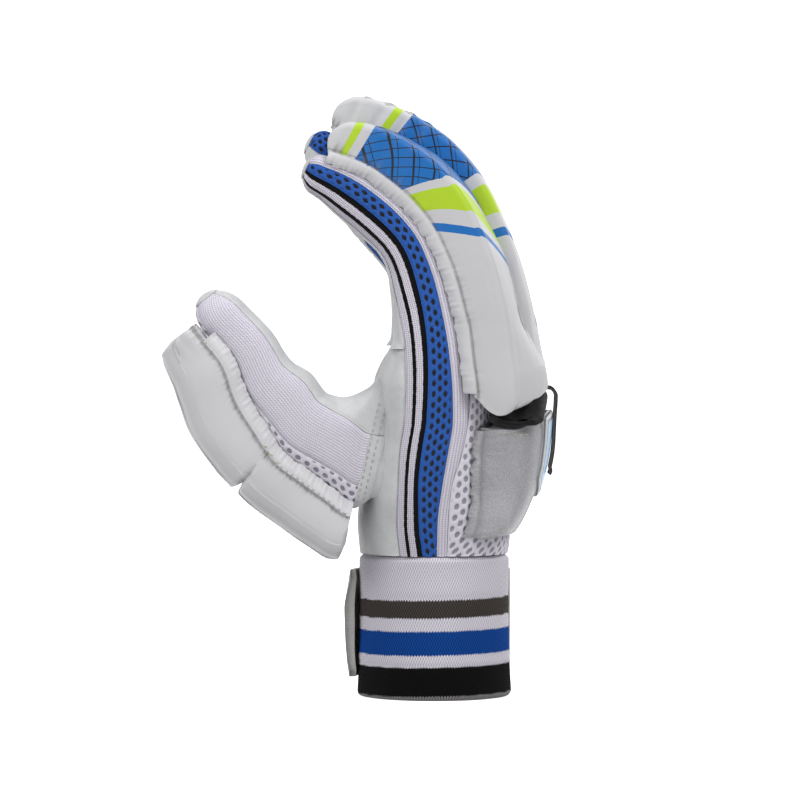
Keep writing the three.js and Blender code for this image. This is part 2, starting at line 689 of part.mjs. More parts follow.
// Woven strip that comes over the folded cloth's loop and hangs down the middle of the pad.
function hingeTab() {
  const top = wristPadTop(0) + hinge.thickness + 3 * seam.lift;
  const profile = [
    [0.0, 0.0], [0.0, 0.35], [0.0, 0.7], [0.0, 0.88], [0.1, 0.95], [0.4, 1.0], [1.0, 1.0],
  ];
  const line = profile.map(([over, up]) => {
    const z = lerp(top - tab.length, top, up);
    const rise = Math.min(1, (z - wristPadFoot) / (wristPadTop(0) - wristPadFoot));
    const x = wristPadFace(rise, 0) + 3 * seam.lift + badge.thickness;
    return new THREE.Vector3(x - over * tab.overhang, 0, z);
  });
  const grid = (lift) => line.map((p, i) => {
    const ahead = line[Math.min(i + 1, line.length - 1)].clone().sub(line[Math.max(i - 1, 0)]).normalize();
    return [-0.5, 0.5].map((side) => (
      new THREE.Vector3(p.x + ahead.z * lift, side * tab.width, p.z - ahead.x * lift)));
  });
  return slab(grid(tab.thickness), grid(0));
}

// Assembly

const glove = new THREE.Group();

function add(name, geometry, finish) {
  const mesh = new THREE.Mesh(geometry, new THREE.MeshStandardMaterial(finish));
  mesh.name = name;
  glove.add(mesh);
}

add('cuff_band', cuffBand(), colours.knit);
add('wrist_strap', wristStrap(), colours.strapBand);
add('palm_leather', palmLeather(), colours.leather);
add('back_mesh', backMesh(), colours.knit);

for (const digit of [fingers[0], fingers[3]]) {
  add(`${digit.name}_side_tape`, sideStrip(digit, 'tape', 'mesh'), colours.knit);
  add(`${digit.name}_mesh_tape`, sideStrip(digit, 'mesh', 'knit'), colours.blueMesh);
  add(`${digit.name}_knit_strip`, sideStrip(digit, 'knit', 'flange'), colours.knit);
}

for (const digit of fingers) {
  const finish = { front: colours.leather, tip: colours.leather, pad: colours.whitePad,
    near_gusset: colours.blueMesh, far_gusset: colours.blueMesh };
  for (const [part, geometry] of Object.entries(fingerPieces(digit))) {
    add(`${digit.name}_${part}`, geometry, finish[part]);
  }
}

const thumbPanels = [
  { name: 'thumb_leather', start: nearAngle('seam1'), end: farAngle('seam1'), steps: 8, finish: colours.leather },
  { name: 'thumb_knit_side', start: nearAngle('seam2'), end: nearAngle('seam1'), steps: 3, finish: colours.knit },
  { name: 'thumb_mesh_side', start: nearAngle('flange'), end: nearAngle('seam2'), steps: 2, finish: colours.knit },
  { name: 'thumb_far_side', start: farAngle('seam1'), end: farAngle('flange'), steps: 4, finish: colours.knit },
];
for (const { name, start, end, steps, finish } of thumbPanels) {
  add(name, panel(thumbStations, start, end, steps, thumb.wall), finish);
}
add('thumb_tip', tipCap(thumbTipStation(), thumb.wall, thumb.tip), colours.leather);
for (const pad of thumbPads) {
  add(pad.name, thumbPadSolid(pad), colours.whitePad);
}

add('wrist_pad', wristPadSolid(), colours.silver);
add('wrist_badge', badgePlate(), colours.badgeBlue);
add('hinge_gusset', hingeGusset(), colours.black);
add('hinge_tab', hingeTab(), colours.darkTab);

// The origin is the middle of the glove's outline, at the surface that it stands on.
const bounds = new THREE.Box3().setFromObject(glove);
const centre = bounds.getCenter(new THREE.Vector3());
glove.position.set(-centre.x, -centre.y, -bounds.min.z);
glove.updateMatrixWorld(true);

export default glove;
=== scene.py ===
"""Cricket batting glove: cloth, leather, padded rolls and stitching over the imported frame."""
import logging
import math
from dataclasses import dataclass, field
from enum import Enum
from typing import Callable, Sequence

import bpy
import numpy as np
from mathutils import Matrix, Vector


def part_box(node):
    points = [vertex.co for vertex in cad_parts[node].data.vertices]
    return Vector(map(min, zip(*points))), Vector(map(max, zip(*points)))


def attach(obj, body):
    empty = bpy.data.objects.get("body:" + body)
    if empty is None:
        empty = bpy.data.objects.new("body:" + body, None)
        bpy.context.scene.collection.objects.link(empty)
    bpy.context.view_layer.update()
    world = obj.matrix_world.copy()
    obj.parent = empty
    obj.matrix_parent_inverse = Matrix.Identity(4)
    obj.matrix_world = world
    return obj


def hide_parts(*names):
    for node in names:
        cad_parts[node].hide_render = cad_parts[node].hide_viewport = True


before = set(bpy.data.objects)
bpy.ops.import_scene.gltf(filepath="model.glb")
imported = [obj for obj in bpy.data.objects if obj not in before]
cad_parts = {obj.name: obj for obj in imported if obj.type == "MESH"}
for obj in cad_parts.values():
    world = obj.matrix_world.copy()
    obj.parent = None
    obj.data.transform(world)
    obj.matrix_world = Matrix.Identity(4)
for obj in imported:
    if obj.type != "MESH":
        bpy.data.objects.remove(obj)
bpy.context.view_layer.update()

LOG = logging.getLogger("glove")
MM = 0.001
BODY = "root"

Array = np.ndarray
Piece = bpy.types.Object
Material = bpy.types.Material
Socket = bpy.types.NodeSocket


# Numbers and curves

def smooth_curve(x: Array, y: Array, at: Array) -> Array:
    """Cubic Hermite curve through points, with harmonic-mean slopes, so it never overshoots.

    Args:
        x: increasing places of the points.
        y: values there.
        at: places to read.

    Returns:
        Values at those places.
    """
    x, y, at = np.asarray(x, float), np.asarray(y, float), np.asarray(at, float)
    step = np.diff(x)
    slope = np.diff(y) / step
    tangent = np.zeros_like(y)
    tangent[0], tangent[-1] = slope[0], slope[-1]
    product = slope[:-1] * slope[1:]
    total = np.where(product > 0, slope[:-1] + slope[1:], 1.0)
    tangent[1:-1] = np.where(product > 0, 2 * product / total, 0.0)
    i = np.clip(np.searchsorted(x, at) - 1, 0, len(x) - 2)
    t = (at - x[i]) / step[i]
    return ((2 * t**3 - 3 * t**2 + 1) * y[i] + (t**3 - 2 * t**2 + t) * step[i] * tangent[i]
            + (3 * t**2 - 2 * t**3) * y[i + 1] + (t**3 - t**2) * step[i] * tangent[i + 1])


def smoothstep(low: float, high: float, value: Array) -> Array:
    """Ramp from 0 at low to 1 at high with level ends, 3 t^2 - 2 t^3."""
    t = np.clip((np.asarray(value, float) - low) / (high - low), 0, 1)
    return t * t * (3 - 2 * t)


def unit(vectors: Array) -> Array:
    """Vectors scaled to length one along their last axis."""
    return vectors / np.maximum(np.linalg.norm(vectors, axis=-1, keepdims=True), 1e-12)


def directions(points: Array, *direction: float) -> Array:
    """One direction, given for every point."""
    return np.zeros_like(points) + np.array(direction)


def round_angles(count: int) -> Array:
    """Evenly spaced angles of a whole turn, as one row."""
    return np.linspace(0, 2 * math.pi, count, endpoint=False)[None, :]


def wobble(a: Array, b: Array, seed: float = 0.0) -> Array:
    """Smooth irregular value near -1 to 1: a sum of five sines that share no period."""
    return (np.sin(1.00 * a + 0.7 * b + seed) + np.sin(0.61 * a - 1.3 * b + 2.1 * seed)
            + np.sin(1.73 * a + 0.4 * b + 1.7 + seed) + np.sin(-0.37 * a + 2.3 * b + 0.4 * seed)
            + np.sin(2.47 * a - 0.9 * b + 3.9 + seed)) / 3.2


def catmull_rom(points: Sequence[Array], t: Array) -> Array:
    """Curve between the second and third of four points, at shares t of the way."""
    p0, p1, p2, p3 = points
    return 0.5 * (2 * p1 + (p2 - p0) * t + (2 * p0 - 5 * p1 + 4 * p2 - p3) * t**2
                  + (3 * p1 - p0 - 3 * p2 + p3) * t**3)


def refine_rows(grid: Array, rows: int) -> Array:
    """Grid with more rows: each column is a Catmull-Rom curve through the given rows.

    Args:
        grid: points or values, rows first.
        rows: number of rows wanted.

    Returns:
        The same columns on evenly spaced curve parameters.
    """
    count = len(grid)
    at = np.linspace(0, count - 1, rows)
    i = np.clip(at.astype(int), 0, count - 2)
    t = (at - i).reshape((-1,) + (1,) * (grid.ndim - 1))
    padded = np.concatenate([2 * grid[:1] - grid[1:2], grid, 2 * grid[-1:] - grid[-2:-1]])
    return catmull_rom([padded[i + k] for k in range(4)], t)


def refine_ring(grid: Array, factor: int) -> Array:
    """Grid with factor times the columns: each row is a closed Catmull-Rom curve."""
    columns = np.swapaxes(grid, 0, 1)
    count = len(columns)
    at = np.arange(count * factor) / factor
    i = at.astype(int)
    t = (at - i).reshape((-1,) + (1,) * (columns.ndim - 1))
    return np.swapaxes(catmull_rom([columns[(i + k) % count] for k in (-1, 0, 1, 2)], t), 0, 1)


def refined(grid: Array, rows: int, factor: int = 3) -> Array:
    """Ring grid with more rows and factor times the points round each ring."""
    return refine_ring(refine_rows(grid, rows), factor)


def calmed(grid: Array, low: float, high: float, turns: int) -> Array:
    """Rows evened out where their height lies between two limits, as cloth bridges a seam.

    Each turn moves every row towards the mean of its two neighbours, by a weight that fades
    out at the limits.

    Args:
        grid: points, rows first.
        low: height below which nothing moves.
        high: height above which nothing moves.
        turns: number of turns.

    Returns:
        The evened rows.
    """
    out = grid.copy()
    height = out[..., 2].mean(axis=1)
    weight = smoothstep(low, low + 8, height) * (1 - smoothstep(high - 8, high, height))
    weight = weight[1:-1, None, None]
    for _ in range(turns):
        out[1:-1] += weight * ((out[:-2] + out[2:]) / 2 - out[1:-1])
    return out


def arc_lengths(grid: Array, axis: int) -> Array:
    """Distance along a grid's rows or columns, from zero at the first."""
    steps = np.linalg.norm(np.diff(grid, axis=axis), axis=-1)
    shape = list(steps.shape)
    shape[axis] = 1
    return np.concatenate([np.zeros(shape), np.cumsum(steps, axis=axis)], axis=axis)


def grid_normals(grid: Array, wrap: bool = False) -> Array:
    """Unit normals of a grid of points, the cross product of its two central differences."""
    rows = np.gradient(grid, axis=0)
    if wrap:
        columns = np.roll(grid, -1, axis=1) - np.roll(grid, 1, axis=1)
    else:
        columns = np.gradient(grid, axis=1)
    return unit(np.cross(rows, columns))


def outward_normals(rings: Array) -> Array:
    """Unit normals of a ring grid, turned away from the middles of its rings."""
    normal = grid_normals(rings, wrap=True)
    return normal * np.sign(np.einsum("ijk,ijk->", normal, rings - rings.mean(axis=1, keepdims=True)))


@dataclass(frozen=True)
class Table:
    """Rows of named columns. The first column is the place that the others are read at."""

    columns: tuple[str, ...]
    rows: tuple[tuple[float, ...], ...]

    def at(self, name: str, place: Array) -> Array:
        """Smoothly blended values of one column at the given places."""
        data = np.array(self.rows)
        return smooth_curve(data[:, 0], data[:, self.columns.index(name)], place)


# Sizes of the glove, in millimetres, as in the frame

@dataclass(frozen=True)
class Sizes:
    """Named sizes that the cloth and leather follow."""

    gap: float = 0.4
    cuff_height: float = 61.0
    cuff_depth: float = 66.0
    cuff_width: float = 80.0
    cuff_wall: float = 3.6
    palm_length: float = 87.0
    palm_depth: float = 66.0
    palm_width: float = 108.0
    finger_length: float = 99.0
    finger_depth: float = 27.7
    finger_gap: float = 2.2
    finger_tip: float = 8.0
    pad_height: float = 27.0
    pad_gap: float = 0.6
    pad_lower_end: float = 18.0
    pad_end_bulge: float = 9.0
    pad_overhang: float = 2.8
    wrist_pad_width: float = 92.0
    wrist_pad_height: float = 46.0
    wrist_pad_thickness: float = 22.0
    wrist_pad_foot: float = 8.1
    wrist_pad_arch: float = 10.0
    thumb_reach: float = 76.0
    thumb_rise: float = 112.0
    thumb_width: float = 34.0
    thumb_tip: float = 14.0
    thumb_pad_height: float = 26.0
    thumb_pad_width: float = 35.0
    thumb_pad_overhang: float = 6.6

    @property
    def wrist(self) -> float:
        """Height of the seam between the cuff and the hand."""
        return self.cuff_height + self.gap

    @property
    def palm_top(self) -> float:
        """Height at which the palm ends and the fingers begin."""
        return self.wrist + self.palm_length

    @property
    def finger_root(self) -> float:
        """Height of the finger stalls' first section."""
        return self.palm_top + self.gap + 1.0

    @property
    def pitch(self) -> float:
        """Distance between the middles of two neighbouring fingers."""
        return self.palm_width / 4

    @property
    def pad_foot(self) -> float:
        """Height of the wrist pad's lower edge."""
        return self.wrist + self.wrist_pad_foot


SIZES = Sizes()

HAND_TABLE = Table(
    ("rise", "palm", "tape", "mesh", "knit", "flange", "back", "side", "arch", "round"),
    ((0.00, -0.485, -0.227, -0.080, 0.014, 0.080, 0.470, 0.352, 0.000, 2.2),
     (0.16, -0.500, -0.247, -0.106, 0.018, 0.088, 0.470, 0.389, 0.000, 2.4),
     (0.33, -0.485, -0.242, -0.109, 0.045, 0.106, 0.424, 0.426, 0.015, 2.6),
     (0.50, -0.455, -0.232, -0.089, 0.083, 0.173, 0.394, 0.454, 0.030, 2.8),
     (0.68, -0.409, -0.198, -0.053, 0.118, 0.215, 0.364, 0.472, 0.045, 3.2),
     (0.85, -0.360, -0.188, -0.036, 0.124, 0.233, 0.311, 0.490, 0.061, 4.0),
     (1.00, -0.290, -0.197, -0.039, 0.106, 0.198, 0.215, 0.500, 0.068, 5.0)))

FINGER_TABLE = Table(
    ("along", "tilt", "depth", "lead"),
    ((0.00, 0, 1.00, 0.20), (0.10, 13, 0.95, 0.13), (0.28, 15, 0.93, 0.03),
     (0.42, 24, 0.86, 0.00), (0.51, 38, 0.86, 0.00), (0.62, 48, 0.88, 0.00),
     (0.76, 54, 0.86, 0.00), (0.94, 66, 0.66, 0.00)))

THUMB_TABLE = Table(
    ("row", "front_x", "front_z", "back_x", "back_z", "width", "lateral", "seam1", "seam2"),
    ((0, -0.26, 0.66, -0.08, 0.21, 0.76, -0.52, -0.10, 0.62),
     (1, -0.14, 0.69, 0.03, 0.17, 0.90, -0.54, -0.15, 0.60),
     (2, -0.06, 0.64, 0.18, 0.24, 0.98, -0.58, -0.35, 0.56),
     (3, 0.06, 0.605, 0.31, 0.305, 0.97, -0.62, -0.62, 0.52),
     (4, 0.16, 0.62, 0.435, 0.37, 0.94, -0.66, -0.72, 0.54),
     (5, 0.255, 0.695, 0.555, 0.49, 0.91, -0.69, -0.74, 0.62),
     (6, 0.365, 0.745, 0.655, 0.605, 0.88, -0.71, -0.74, 0.69),
     (7, 0.47, 0.85, 0.725, 0.735, 0.85, -0.73, -0.74, 0.76),
     (8, 0.62, 0.96, 0.845, 0.84, 0.80, -0.74, -0.74, 0.84)))


class Side(Enum):
    """Which side of the glove a panel lies on: the thumb's, or the little finger's."""

    NEAR = 1
    FAR = -1


@dataclass(frozen=True)
class Digit:
    """One finger: its place across the hand, root, length, bend and pad heights."""

    name: str
    place: float
    root_x: float
    share: float
    curl: float
    near: float
    far: float
    end: float
    print_shift: float
    fold: float

    @property
    def lateral(self) -> float:
        """Place of the finger's middle across the hand."""
        return self.place * SIZES.pitch

    @property
    def length(self) -> float:
        """Length of the stall from its root."""
        return self.share * SIZES.finger_length


DIGITS = (
    Digit("index", -1.5, 0.0, 1.0, 1.0, 0.66, 0.97, 0.78, 0.0, 0.35),
    Digit("middle", -0.5, 0.075, 1.121, 0.96, 0.88, 0.94, 0.86, -4.0, 1.0),
    Digit("ring", 0.5, 0.07, 1.03, 1.04, 0.94, 0.88, 0.86, 22.0, 0.8),
    Digit("little", 1.5, -0.02, 0.82, 0.86, 0.93, 0.64, 0.86, 27.0, 0.5),
)


class Placement:
    """Turns construction millimetres into the frame's metres: the cuff's middle is the origin."""

    def __init__(self) -> None:
        """Reads the cuff's box, which fixes the shift."""
        low, high = (np.array(corner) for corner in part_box("cuff_band"))
        self.shift = np.array([(low[0] + high[0]) / 2, (low[1] + high[1]) / 2, low[2]])

    def metres(self, points: Array) -> Array:
        """Points in metres in the frame."""
        return np.asarray(points) * MM + self.shift


PLACE = Placement()


# Meshes

def mesh_object(name: str, points: Array, faces: Sequence[Array],
                values: dict[str, Array] | None = None) -> Piece:
    """Object with a closed mesh whose faces are turned outwards by the sign of its volume.

    Args:
        name: the piece's name.
        points: vertices in construction millimetres.
        faces: arrays of vertex indices, one array for each number of corners.
        values: point attributes, one number a vertex.

    Returns:
        The new object, at the origin.
    """
    points = np.asarray(points, float).reshape(-1, 3)
    middle = points.mean(axis=0)
    volume = 0.0
    for block in faces:
        corner = points[block] - middle
        for k in range(1, block.shape[1] - 1):
            cross = np.cross(corner[:, k], corner[:, k + 1])
            volume += float(np.einsum("ij,ij->", corner[:, 0], cross))
    blocks = [block if volume > 0 else block[:, ::-1] for block in faces]
    mesh = bpy.data.meshes.new(name)
    mesh.vertices.add(len(points))
    mesh.vertices.foreach_set("co", PLACE.metres(points).astype(np.float32).ravel())
    loops = np.concatenate([block.ravel() for block in blocks])
    sizes = np.concatenate([np.full(len(block), block.shape[1]) for block in blocks])
    mesh.loops.add(len(loops))
    mesh.loops.foreach_set("vertex_index", loops.astype(np.int32))
    mesh.polygons.add(len(sizes))
    starts = np.concatenate([[0], np.cumsum(sizes)[:-1]])
    mesh.polygons.foreach_set("loop_start", starts.astype(np.int32))
    mesh.polygons.foreach_set("use_smooth", np.ones(len(sizes), bool))
    mesh.update(calc_edges=True)
    for key, data in (values or {}).items():
        layer = mesh.attributes.new(key, "FLOAT", "POINT")
        layer.data.foreach_set("value", np.asarray(data, np.float32).ravel())
    mesh.validate()
    piece = bpy.data.objects.new(name, mesh)
    bpy.context.scene.collection.objects.link(piece)
    return piece


def quads(rows: int, columns: int, first: int = 0, wrap: bool = False) -> Array:
    """Quads of a grid of vertices numbered row by row from first."""
    i, j = np.meshgrid(np.arange(rows - 1), np.arange(columns - (0 if wrap else 1)), indexing="ij")
    k = (j + 1) % columns
    return first + np.stack([i * columns + j, i * columns + k, (i + 1) * columns + k,
                             (i + 1) * columns + j], axis=-1).reshape(-1, 4)


def panel_object(name: str, outer: Array, inner: Array, values: dict[str, Array],
                 step: int) -> Piece:
    """Closed panel between a fine outer grid and an inner grid that keeps each step-th point.

    Args:
        name: the piece's name.
        outer: outer points, rows by columns.
        inner: inner points at every step-th row and column.
        values: attributes on the outer grid.
        step: how many outer cells share one inner cell, each way.

    Returns:
        The panel, its rim made of faces that join step outer edges to one inner edge.
    """
    rows, columns = outer.shape[:2]
    small_rows, small_columns = inner.shape[:2]
    base = rows * columns
    skin = quads(rows, columns)
    lining = quads(small_rows, small_columns, base)[:, ::-1]
    o = np.arange(base).reshape(rows, columns)
    n = base + np.arange(small_rows * small_columns).reshape(small_rows, small_columns)
    rims = []
    for line, small, flip in ((o[0], n[0], True), (o[-1], n[-1], False),
                              (o[:, 0], n[:, 0], False), (o[:, -1], n[:, -1], True)):
        starts = np.arange(len(small) - 1) * step
        run = np.stack([line[starts + k] for k in range(step + 1)], axis=1)
        face = np.concatenate([run, small[1:, None], small[:-1, None]], axis=1)
        rims.append(face[:, ::-1] if flip else face)
    blocks = [np.concatenate([skin, lining]), np.concatenate([r[:, ::-1] for r in rims])]
    points = np.concatenate([outer.reshape(-1, 3), inner.reshape(-1, 3)])
    every = {key: np.concatenate([v.ravel(), v[::step, ::step].ravel()]) for key, v in values.items()}
    return mesh_object(name, points, blocks, every)


def tube_object(name: str, rings: Array, values: dict[str, Array]) -> Piece:
    """Closed body lofted through rings, each end closed by a fan to the ring's middle.

    Args:
        name: the piece's name.
        rings: points, rings by points round a ring.
        values: attributes on the same grid.

    Returns:
        The body.
    """
    rows, columns = rings.shape[:2]
    count = rows * columns
    points = np.concatenate([rings.reshape(-1, 3), rings[0].mean(axis=0)[None],
                             rings[-1].mean(axis=0)[None]])
    j = np.arange(columns)
    k = (j + 1) % columns
    last = (rows - 1) * columns
    fans = np.concatenate([
        np.stack([k, j, np.full(columns, count)], axis=1),
        np.stack([last + j, last + k, np.full(columns, count + 1)], axis=1)])
    every = {key: np.concatenate([v.ravel(), [v[0].mean(), v[-1].mean()]])
             for key, v in values.items()}
    return mesh_object(name, points, [quads(rows, columns, 0, True), fans], every)


# Sections of hand, fingers and thumb

@dataclass
class Stations:
    """Sections along a limb, as arrays: middle, dorsal direction, depth, width and shape.

    A section is a rounded box |a/depth|^round + |y/width|^round = 1 whose middle is lifted by
    arch, with angle 0 dorsal, a quarter turn at the near side and half a turn at the palm.
    """

    centre: Array
    dorsal: Array
    depth: Array
    width: Array
    arch: Array
    round: Array
    edges: dict[str, Array] = field(default_factory=dict)

    def point(self, across: Array, lateral: Array) -> Array:
        """Points at a height over each section's middle and a place along Y."""
        points = self.centre[:, None] + self.dorsal[:, None] * across[..., None]
        points[..., 1] += lateral
        return points

    def outline(self, angle: Array, inset: float = 0.0) -> Array:
        """Points of the sections' outlines, pulled in by inset."""
        power = (2 / self.round)[:, None]
        c, s = np.cos(angle), np.sin(angle)
        half_width = self.width[:, None] / 2
        lateral = -np.sign(s) * np.abs(s) ** power * (half_width - inset)
        across = np.sign(c) * np.abs(c) ** power * (self.depth[:, None] / 2 - inset)
        share = np.clip(np.abs(lateral) / half_width, 0, 1)
        return self.point(across + self.arch[:, None] * (1 - share**2), lateral)

    def angle(self, edge: str, side: Side) -> Array:
        """Angle at which each outline passes a named edge, on one side."""
        share = np.clip(self.edges[edge], -1, 1)
        near = np.arccos(np.sign(share) * np.abs(share) ** (self.round / 2))
        return near if side is Side.NEAR else 2 * math.pi - near

    def roof(self, lateral: Array) -> Array:
        """Height of the dorsal surface over each section's middle at places along Y."""
        share = np.clip(np.abs(2 * lateral / self.width[:, None]), 0, 0.999)
        power = self.round[:, None]
        return (self.depth[:, None] / 2 * (1 - share**power) ** (1 / power)
                + self.arch[:, None] * (1 - share**2))

    def flank(self, across: Array) -> Array:
        """Half width of each section at a height over its middle."""
        share = np.clip(np.abs(2 * across / self.depth), 0, 0.999)
        return self.width / 2 * (1 - share**self.round) ** (1 / self.round)

    def joined(self, other: "Stations") -> "Stations":
        """These sections followed by the other's."""
        both = {key: np.concatenate([getattr(self, key), getattr(other, key)])
                for key in ("centre", "dorsal", "depth", "width", "arch", "round")}
        shared = {key: np.concatenate([self.edges[key], other.edges[key]])
                  for key in self.edges if key in other.edges}
        return Stations(edges=shared, **both)

    def capped(self, reach: float, rows: int = 7, end: float = 66.0) -> "Stations":
        """These sections, closed over the tip by ones that shrink as a quarter ellipse."""
        turn = np.radians(np.linspace(0, end, rows + 1)[1:])
        size = np.cos(turn)
        ahead = unit(self.centre[-1] - self.centre[-3])
        one = np.ones(rows)
        edges = {key: value[-1] * one for key, value in self.edges.items()}
        closing = smoothstep(0, 40, np.degrees(turn))
        edges["flange"] = edges["flange"] + (0.999 - edges["flange"]) * closing
        cap = Stations(
            centre=self.centre[-1] + ahead * (reach * np.sin(turn))[:, None],
            dorsal=self.dorsal[-1] * one[:, None], depth=self.depth[-1] * size,
            width=self.width[-1] * size, arch=self.arch[-1] * one, round=self.round[-1] * one,
            edges=edges)
        return self.joined(cap)


def hand_stations(rise: Array) -> Stations:
    """Sections of the hand at shares of the palm's length over the wrist seam."""
    depth = SIZES.palm_depth
    palm, back = HAND_TABLE.at("palm", rise), HAND_TABLE.at("back", rise)
    middle, half = (palm + back) / 2, (back - palm) / 2
    zero = np.zeros_like(rise)
    return Stations(
        centre=np.stack([middle * depth, zero, SIZES.wrist + rise * SIZES.palm_length], axis=1),
        dorsal=np.stack([zero + 1, zero, zero], axis=1),
        depth=2 * half * depth,
        width=2 * HAND_TABLE.at("side", rise) * SIZES.palm_width,
        arch=HAND_TABLE.at("arch", rise) * depth,
        round=HAND_TABLE.at("round", rise),
        edges={key: (HAND_TABLE.at(key, rise) - middle) / half
               for key in ("tape", "mesh", "knit", "flange")})


def finger_stations(digit: Digit, along: Array, web: bool = True) -> Stations:
    """Sections of a finger stall at shares of its length.

    The middle line is the sum of short steps that turn by the table's tilt.

    Args:
        digit: the finger.
        along: increasing shares of its length.
        web: whether the root is widened until neighbouring stalls touch.

    Returns:
        The sections.
    """
    fine = np.linspace(min(0.0, along.min()), max(1.0, along.max()), 600)
    tilt = np.radians(FINGER_TABLE.at("tilt", np.clip(fine, 0, 1.1)) * digit.curl)
    step = digit.length * (fine[1] - fine[0])
    x = np.concatenate([[0], np.cumsum(-np.sin((tilt[1:] + tilt[:-1]) / 2) * step)])
    z = np.concatenate([[0], np.cumsum(np.cos((tilt[1:] + tilt[:-1]) / 2) * step)])
    x = x - np.interp(0, fine, x) + digit.root_x * SIZES.palm_depth
    z = z - np.interp(0, fine, z) + SIZES.finger_root
    here = np.interp(along, fine, tilt)
    lead = np.maximum(FINGER_TABLE.at("lead", along), 0) * SIZES.finger_depth
    half = FINGER_TABLE.at("depth", along) * SIZES.finger_depth / 2
    dorsal = np.stack([np.cos(here), np.zeros_like(here), np.sin(here)], axis=1)
    centre = np.stack([np.interp(along, fine, x), np.full_like(along, digit.lateral),
                       np.interp(along, fine, z)], axis=1) - dorsal * (lead / 2)[:, None]
    narrow = SIZES.pitch - SIZES.finger_gap
    spread = (SIZES.finger_gap - 0.3) * (1 - smoothstep(0.02, 0.16, along)) if web else 0.0
    wrapped = 0.0 if digit.name == "index" else 0.75 * smoothstep(0.68, 0.92, along)
    shares = {"tape": -0.94 + wrapped, "mesh": -0.15, "knit": 0.45, "flange": 0.97}
    return Stations(
        centre=centre, dorsal=dorsal, depth=2 * half + lead,
        width=np.full_like(along, narrow) + spread,
        arch=np.zeros_like(along), round=np.full_like(along, 3.0),
        edges={key: (share * half + lead / 2) / (half + lead / 2) for key, share in shares.items()})


def thumb_stations(row: Array) -> Stations:
    """Sections of the thumb at places counted along its table's rows."""
    face = -SIZES.palm_depth / 2

    def outline_point(name: str) -> Array:
        """Points of the thumb's front or back outline, in the XZ plane."""
        x = face - THUMB_TABLE.at(f"{name}_x", row) * SIZES.thumb_reach
        z = SIZES.wrist + THUMB_TABLE.at(f"{name}_z", row) * SIZES.thumb_rise
        return np.stack([x, np.zeros_like(row), z], axis=1)

    front, back = outline_point("front"), outline_point("back")
    centre = (front + back) / 2
    centre[:, 1] = THUMB_TABLE.at("lateral", row) * SIZES.palm_width / 2
    return Stations(
        centre=centre, dorsal=unit(back - front), depth=np.linalg.norm(back - front, axis=1),
        width=THUMB_TABLE.at("width", row) * SIZES.thumb_width,
        arch=np.zeros_like(row), round=np.full_like(row, 2.6),
        edges={"seam1": THUMB_TABLE.at("seam1", row), "seam2": THUMB_TABLE.at("seam2", row),
               "flange": np.full_like(row, 0.97)})


# Shader nodes

def linear(code: str) -> tuple[float, float, float, float]:
    """Scene-linear colour of a six-digit sRGB code."""
    channels = [int(code[k:k + 2], 16) / 255 for k in (0, 2, 4)]
    values = [c / 12.92 if c <= 0.04045 else ((c + 0.055) / 1.055) ** 2.4 for c in channels]
    return (*values, 1.0)


